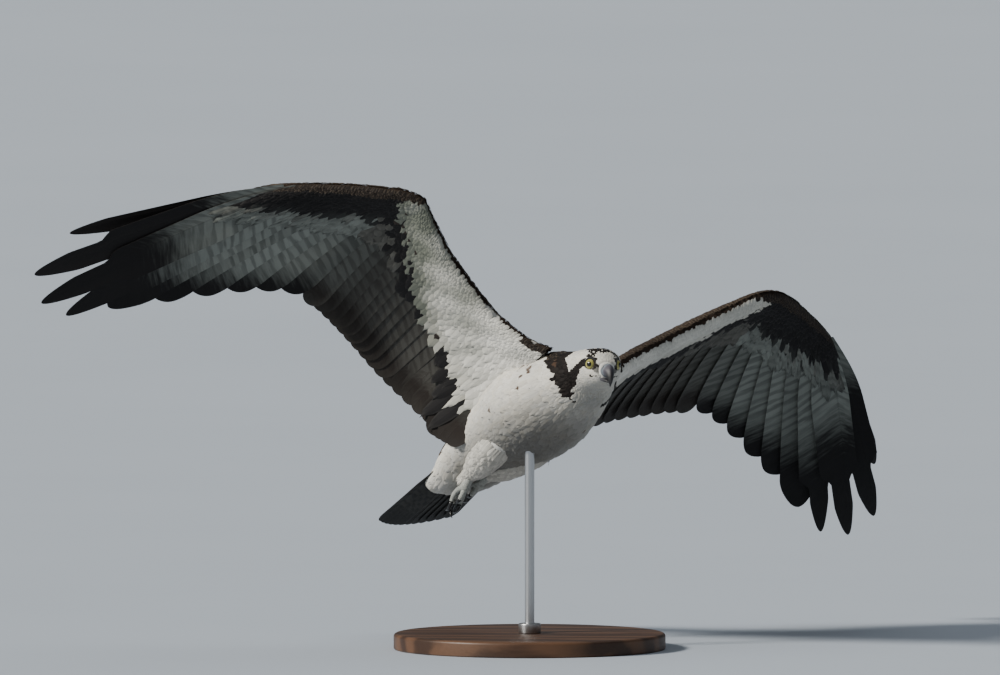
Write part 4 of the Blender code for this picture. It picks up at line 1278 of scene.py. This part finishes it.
def bare_skin_finish(name, colour, other, scale, depth):
    """Bare skin: two tones in small cells, with creases between them painted in the darker tone as painted
    shade.
    """
    made, shader, start = finish_for(name, Roughness=0.55, Specular_IOR_Level=0.4)
    place = start.place()
    inputs = {"Vector": place, "Scale": scale}
    creases = start.node("ShaderNodeTexVoronoi", {"feature": "DISTANCE_TO_EDGE"}, inputs).between(0.02, 0.16)
    # Painted shade: the creases take the darker tone; the grain mixes the two tones at random over the cells.
    shade = (creases * 0.75 + start.grain(place, scale * 0.35) * 0.5 - 0.1).blend(other, colour)
    feed(shader, Base_Color=shade, Normal=creases.bump(0.8, depth))
    return made


eye_surface = eye_finish()
lid_skin = bare_skin_finish("lid_skin", (0.020, 0.020, 0.022, 1), (0.006, 0.006, 0.007, 1), 2600.0, 0.0002)
polar, around = grid(np.linspace(math.pi - 0.02, 0.02, 44), circle(56))
sight = round_eye(polar, around)
dome = EYE_RADIUS + CORNEA_HIGH * share_of(1 - (polar / CORNEA_WIDE) ** 2)
# The lid is a ring of round section, its first turn repeated to close it: thicker above and in front
turn, section = grid(np.append(circle(72), 0.0), circle(18))
upper = share_of(np.sin(turn))
front = share_of(-np.cos(turn)) ** 2
opening = LID_OPEN - math.radians(6) * upper**2 - math.radians(12) * front + 0.02 * np.sin(2 * turn + 0.5)
thick = 0.0008 + 0.0006 * upper + 0.0012 * front + 0.00008 * np.sin(26 * turn)
lid_polar = opening + 0.055 + thick * (0.9 - np.cos(section)) / EYE_RADIUS
lid_radius = EYE_RADIUS + 0.0003 + 0.0003 * upper + 0.0016 * front
lid_radius = lid_radius + thick * (0.85 + 0.65 * front) * np.sin(section)
lid_ways = round_eye(lid_polar, turn)[::-1]
for side, word in SIDES:
    eye = surface(f"eyeball_{word}", on_side(sight, dome, side), eye_surface, "eye", True, True)
    mark(eye, "sight", sight[:, ::side], "FLOAT_VECTOR")
    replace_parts(eye, "eye_" + word)
    surface(f"lid_{word}", on_side(lid_ways, lid_radius[::-1], side), lid_skin, "bill_and_claw", True)

# The bill: short, deep and strongly hooked. A blue-grey cere with slit nostrils covers its base, the
# culmen is a rounded ridge, the cutting edge overhangs the lower half, and the hook is black horn.
UPPER_BILL = (
    (0.0300, -0.0004, 0.0078, 0.0074, -4),
    (0.0347, -0.0008, 0.0085, 0.0082, 0),
    (0.0405, -0.0006, 0.0072, 0.0076, 10),
    (0.0457, -0.0032, 0.0056, 0.0062, 34),
    (0.0492, -0.0085, 0.0040, 0.0044, 62),
    (0.0502, -0.0142, 0.0024, 0.0027, 86),
    (0.0490, -0.0200, 0.0006, 0.0008, 102),
)
LOWER_BILL = (
    (0.0300, -0.0122, 0.0080, 0.0030, 0),
    (0.0347, -0.0128, 0.0070, 0.0028, 0),
    (0.0395, -0.0132, 0.0056, 0.0026, 6),
    (0.0435, -0.0140, 0.0038, 0.0019, 12),
    (0.0460, -0.0148, 0.0014, 0.0008, 18),
)
# Where the cere ends along the table, how much it swells, and the nostril's place and depth
CERE_ENDS, CERE_SWELL = 1.98, 0.045
NOSTRIL_AT, NOSTRIL_DEEP = (0.0372, 0.0032), 0.0011


def half_bill(table, rows, sides, ridge, cere):
    """Rings of half the bill along its table: an oval drawn in to a ridge at its top.

    The first rows swell into the cere, which ends in a low step and has a slit nostril on each side.
    Gives the points in the head's frame, their places along the table and how deep in the slit they are.
    """
    at = np.linspace(0, len(table) - 1, rows)
    ahead, high, wide, tall, down = spline(table, at).T
    across, up = oval(circle(sides), 2.2)
    across = across * (1 - ridge * share_of(up) ** 1.5)
    swell = 1 + CERE_SWELL * cere * share_of((CERE_ENDS + 0.07 - at) / 0.15)
    down = np.radians(down)
    up = (tall * swell)[:, None] * up
    x, z = ahead[:, None] + up * np.sin(down)[:, None], high[:, None] + up * np.cos(down)[:, None]
    y = (wide * swell)[:, None] * across
    aft, over = x - NOSTRIL_AT[0], z - NOSTRIL_AT[1]
    slit = cere * np.exp(-(((aft + 0.6 * over) / 0.0007) ** 2) - (over / 0.0015) ** 2)
    return np.stack([x, y - NOSTRIL_DEEP * slit * np.sign(y), z], -1), at, slit * (z > 0)


def horn_finish():
    """Bill horn: blue-grey cere, slate sides and a black hook, satin with fine growth lines."""
    made, shader, start = finish_for("bill_horn", Roughness=0.32, Specular_IOR_Level=0.5)
    along, dent, spin = start.parts_kept("place")
    lines = start.grain(start.vector(along * 1.2, spin * 26.0, 0.0), 3.0, 4.0)
    speck = start.grain(start.place(), 1500.0, 3.0)
    blacker = (along + (lines - 0.5) * 0.35).between(1.6, 4.2)
    horn = blacker.blend((0.085, 0.080, 0.100, 1), (0.008, 0.008, 0.009, 1))
    cere = speck.between(0.3, 0.7).blend((0.10, 0.115, 0.135, 1), (0.16, 0.18, 0.205, 1))
    tone = (along + (speck - 0.5) * 0.12).between(CERE_ENDS, CERE_ENDS + 0.08).blend(cere, horn)
    # The nostril slit is painted near black: painted shade in its recess.
    shade = dent.between(0.05, 0.5).blend(tone, (0.006, 0.006, 0.006, 1))
    relief = (lines + speck * 0.5).bump(0.4, 0.0002)
    feed(shader, Base_Color=shade, Normal=relief, Roughness=0.42 + speck * 0.2)
    return made


horn = horn_finish()
for name, table, ridge, cere in (("bill_upper", UPPER_BILL, 0.42, 1.0), ("bill_lower", LOWER_BILL, 0.0, 0.0)):
    rings, at, slit = half_bill(table, 60, 48, ridge, cere)
    bill = surface(name + "_horn", from_head(rings)[None], horn, "bill_and_claw", True, True)
    along = (at if cere else 2.2 + at * 0.6)[:, None]
    spin = np.abs(np.arange(48) / 24 - 1)
    mark(bill, "place", np.stack(np.broadcast_arrays(along, slit, spin), -1), "FLOAT_VECTOR")
    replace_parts(bill, name)

# The feet: short bare shanks, rough grey-white scaly toes clenched under the tail and long black claws.
# A shank runs from the heel to the ball of the foot. A toe is told by how far it reaches ahead, aside and
# off the belly, how high it arches and how thick it is.
SHANK = {
    -1: (
        (-0.190, -0.0240, -0.062, 0.0054),
        (-0.202, -0.0235, -0.066, 0.0048),
        (-0.231, -0.0210, -0.078, 0.0052),
    ),
    1: (
        (-0.190, 0.0095, -0.052, 0.0056),
        (-0.203, 0.0070, -0.055, 0.0050),
        (-0.236, 0.0000, -0.067, 0.0054),
    ),
}
TOES = (
    (0.032, 0.0060, 0.000, 0.005, 0.0036),
    (0.038, 0.0005, 0.005, 0.007, 0.0038),
    (0.031, -0.0055, 0.000, 0.005, 0.0036),
    (0.016, -0.0020, -0.008, -0.003, 0.0034),
)
FOOT_POINTS = {-1: (-0.92, 0.04, -0.38), 1: (-0.99, -0.06, -0.11)}
BALL_RADIUS = 0.0066
FOOT_VOXEL = 0.0005
CLAW_LONG, CLAW_CURL, CLAW_RADIUS = 0.021, math.radians(105), 0.0029
along_toe = np.linspace(0, 1, 60)


def foot_ways(side):
    """Where the ball of one foot is, the way its toes point, its left and the way off the belly."""
    along = unit(np.array(FOOT_POINTS[side]))
    left = -unit(np.cross(UPRIGHT, along))
    return np.array(SHANK[side][-1][:3]), along, left, -np.cross(along, left)


def toe_line(side, toe, t):
    """Middle line of one toe, arched between the ball of the foot and its tip."""
    root, along, left, off = foot_ways(side)
    reach, aside, drop, arch, _ = toe
    t = t[:, None]
    end = along * reach + left * aside + off * drop
    return root + end * t + off * arch * 4 * t * (1 - t) + left * aside * 0.4 * np.sin(math.pi * t)


def tube(line, radius, around):
    """A ring of points about each point of a line, radius from it."""
    ahead = unit(np.gradient(line, axis=0))
    first = unit(np.cross(ahead, (0.13, 0.27, 0.95)))
    second = np.cross(ahead, first)
    angle = circle(around)[:, None]
    return line[:, None] + each(radius) * (np.cos(angle) * first[:, None] + np.sin(angle) * second[:, None])


def foot_tubes(side):
    """The shank, the ball of the foot and the four toes, swelled at their joints and pads."""
    t = along_toe
    shank = spline(SHANK[side], 2 * t)
    ball, along, _, _ = foot_ways(side)
    rise = np.linspace(-0.999, 0.999, len(t))
    tubes = [
        tube(shank[:, :3], shank[:, 3], 28),
        tube(ball + rise[:, None] * BALL_RADIUS * along, 0.0068 * np.sqrt(1 - rise**2) + 0.0001, 28),
    ]
    joints = 1 + 0.10 * np.cos(3 * math.pi * t) ** 2 + 0.035 * np.abs(np.sin(11 * math.pi * t))
    girth = (1 - 0.26 * t) * joints * np.sqrt(np.clip((1.03 - t) / 0.10, 0.05, 1))
    return np.stack(tubes + [tube(toe_line(side, toe, t), toe[4] * girth, 28) for toe in TOES])


def claw_tube(side, toe):
    """One claw, hooked from its toe's tip toward the foot's grip."""
    path = toe_line(side, toe, np.linspace(0, 1, 6))
    ahead = unit(path[-1] - path[-2])
    off = foot_ways(side)[3]
    inward = -off if toe[2] > 0 else off
    inward = unit(inward - ahead * (inward @ ahead))
    turned = np.linspace(0, CLAW_CURL, 24)[:, None]
    curve = CLAW_LONG / CLAW_CURL * (ahead * np.sin(turned) + inward * (1 - np.cos(turned)))
    hook = np.vstack([path[-1] - ahead * 0.0022, path[-1] + ahead * 0.0012 + curve])
    return tube(hook, CLAW_RADIUS * (1 - np.linspace(0, 0.96, 25) ** 1.35), 18)


def claw_finish():
    """Black claw horn, glossy, with faint streaks."""
    made, shader, start = finish_for("claw_horn", Specular_IOR_Level=0.5)
    streaks = start.grain(start.place(), 700.0, 3.0)
    colour = streaks.between(0.3, 0.8).blend((0.006, 0.006, 0.007, 1), (0.022, 0.021, 0.022, 1))
    feed(shader, Base_Color=colour, Roughness=0.16 + streaks * 0.2)
    return made


foot_skin = bare_skin_finish("foot_scales", (0.52, 0.54, 0.50, 1), (0.20, 0.21, 0.19, 1), 900.0, 0.0004)
claw_horn = claw_finish()
for side, word in SIDES:
    foot = surface(f"scaly_foot_{word}", foot_tubes(side), foot_skin, "bare_foot", True, True)
    run_together(foot, FOOT_VOXEL)
    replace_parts(foot, "foot_" + word)
    hooks = np.stack([claw_tube(side, toe) for toe in TOES])
    claws = surface(f"claws_{word}", hooks, claw_horn, "bill_and_claw", True, True)
    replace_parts(claws, *[f"claw_{word}_{number}" for number in (1, 2, 3, 4)])

# The stand: a round base of oiled dark wood, turned with a rounded rim, and one brushed steel rod in a
# steel collar. The rod goes up into the belly through the feathers.
BASE_RADIUS, BASE_HIGH, BASE_RIM = 0.170, 0.020, 0.004
ROD_RADIUS, ROD_FOOT, ROD_TOP = 0.0060, 0.0204, 0.314
COLLAR_RADIUS, COLLAR_TOP, COLLAR_LIP = 0.0140, 0.0324, 0.0015


def turned_piece(name, profile, finish, slot, sides):
    """A turned solid about the stand's upright axis, from a profile of radius and height."""
    profile = np.asarray(profile, float)
    angle = circle(sides)
    ring = np.stack([np.cos(angle), np.sin(angle), 0 * angle], -1)
    points = profile[:, None, :1] * ring + profile[:, None, 1:] * UPRIGHT
    piece = surface(name, ((points - SHOULDERS) @ BIRD.T)[None], finish, slot, True, True)
    piece.data.set_sharp_from_angle(angle=math.radians(40))
    return piece


def wood_finish():
    """Oiled walnut: long grain with pores, satin."""
    made, shader, start = finish_for("oiled_walnut", Specular_IOR_Level=0.4)
    x, y, z = start.place().parts()
    warp = start.grain(start.vector(x * 1.2, y * 6.0, z * 6.0), 2.0, 3.0)
    rings = (y * 120.0 + warp * 14.0 + x * 4.0).math("SINE")
    pores = start.grain(start.vector(x * 22.0, y * 420.0, z * 420.0), 1.0, 3.0)
    tone = rings.between(-1.0, 1.0) * 0.5 + warp * 0.35 + pores * 0.25
    wood = tone.between(0.2, 0.95).blend((0.040, 0.019, 0.010, 1), (0.125, 0.062, 0.032, 1))
    feed(shader, Base_Color=wood, Normal=pores.bump(0.25, 0.0003), Roughness=0.36 + pores * 0.18)
    return made


def steel_finish():
    """Steel brushed round its length."""
    made, shader, start = finish_for("brushed_steel", Metallic=1.0, Base_Color=(0.56, 0.57, 0.58, 1))
    x, y, z = start.place().parts()
    brushed = start.grain(start.vector(x * 30.0, y * 30.0, z * 2600.0), 1.0, 3.0)
    feed(shader, Roughness=0.24 + brushed * 0.22, Normal=brushed.bump(0.15, 0.0001))
    return made


def rounded_edge(radius, height, round_off):
    """A quarter round between an upright side of a radius and a level top at a height."""
    turn = np.linspace(0, math.pi / 2, 9)
    quarter = round_off * np.column_stack([np.cos(turn), np.sin(turn)])
    return [tuple(point) for point in (radius - round_off, height - round_off) + quarter]


steel = steel_finish()
base_profile = [(0.1685, 0.0), (BASE_RADIUS, 0.0015), *rounded_edge(BASE_RADIUS, BASE_HIGH, BASE_RIM)]
base_profile += [(radius, BASE_HIGH) for radius in (0.1645, 0.120, 0.040)]
rod_profile = [(ROD_RADIUS, height) for height in np.linspace(ROD_FOOT, ROD_TOP, 30)]
collar_profile = [(0.0138, ROD_FOOT), (COLLAR_RADIUS, 0.0207), (COLLAR_RADIUS, COLLAR_TOP - COLLAR_LIP)]
collar_profile += rounded_edge(COLLAR_RADIUS, COLLAR_TOP, COLLAR_LIP)
collar_profile += [(0.0090, COLLAR_TOP), (0.0064, 0.0322)]
for name, profile, finish, slot, sides, node in (
    ("turned_base", base_profile, wood_finish(), "stand_wood", 192, "stand_base"),
    ("rod", rod_profile, steel, "stand_steel", 48, "stand_rod"),
    ("collar", collar_profile, steel, "stand_steel", 72, "stand_collar"),
):
    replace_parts(turned_piece(name, profile, finish, slot, sides), node)
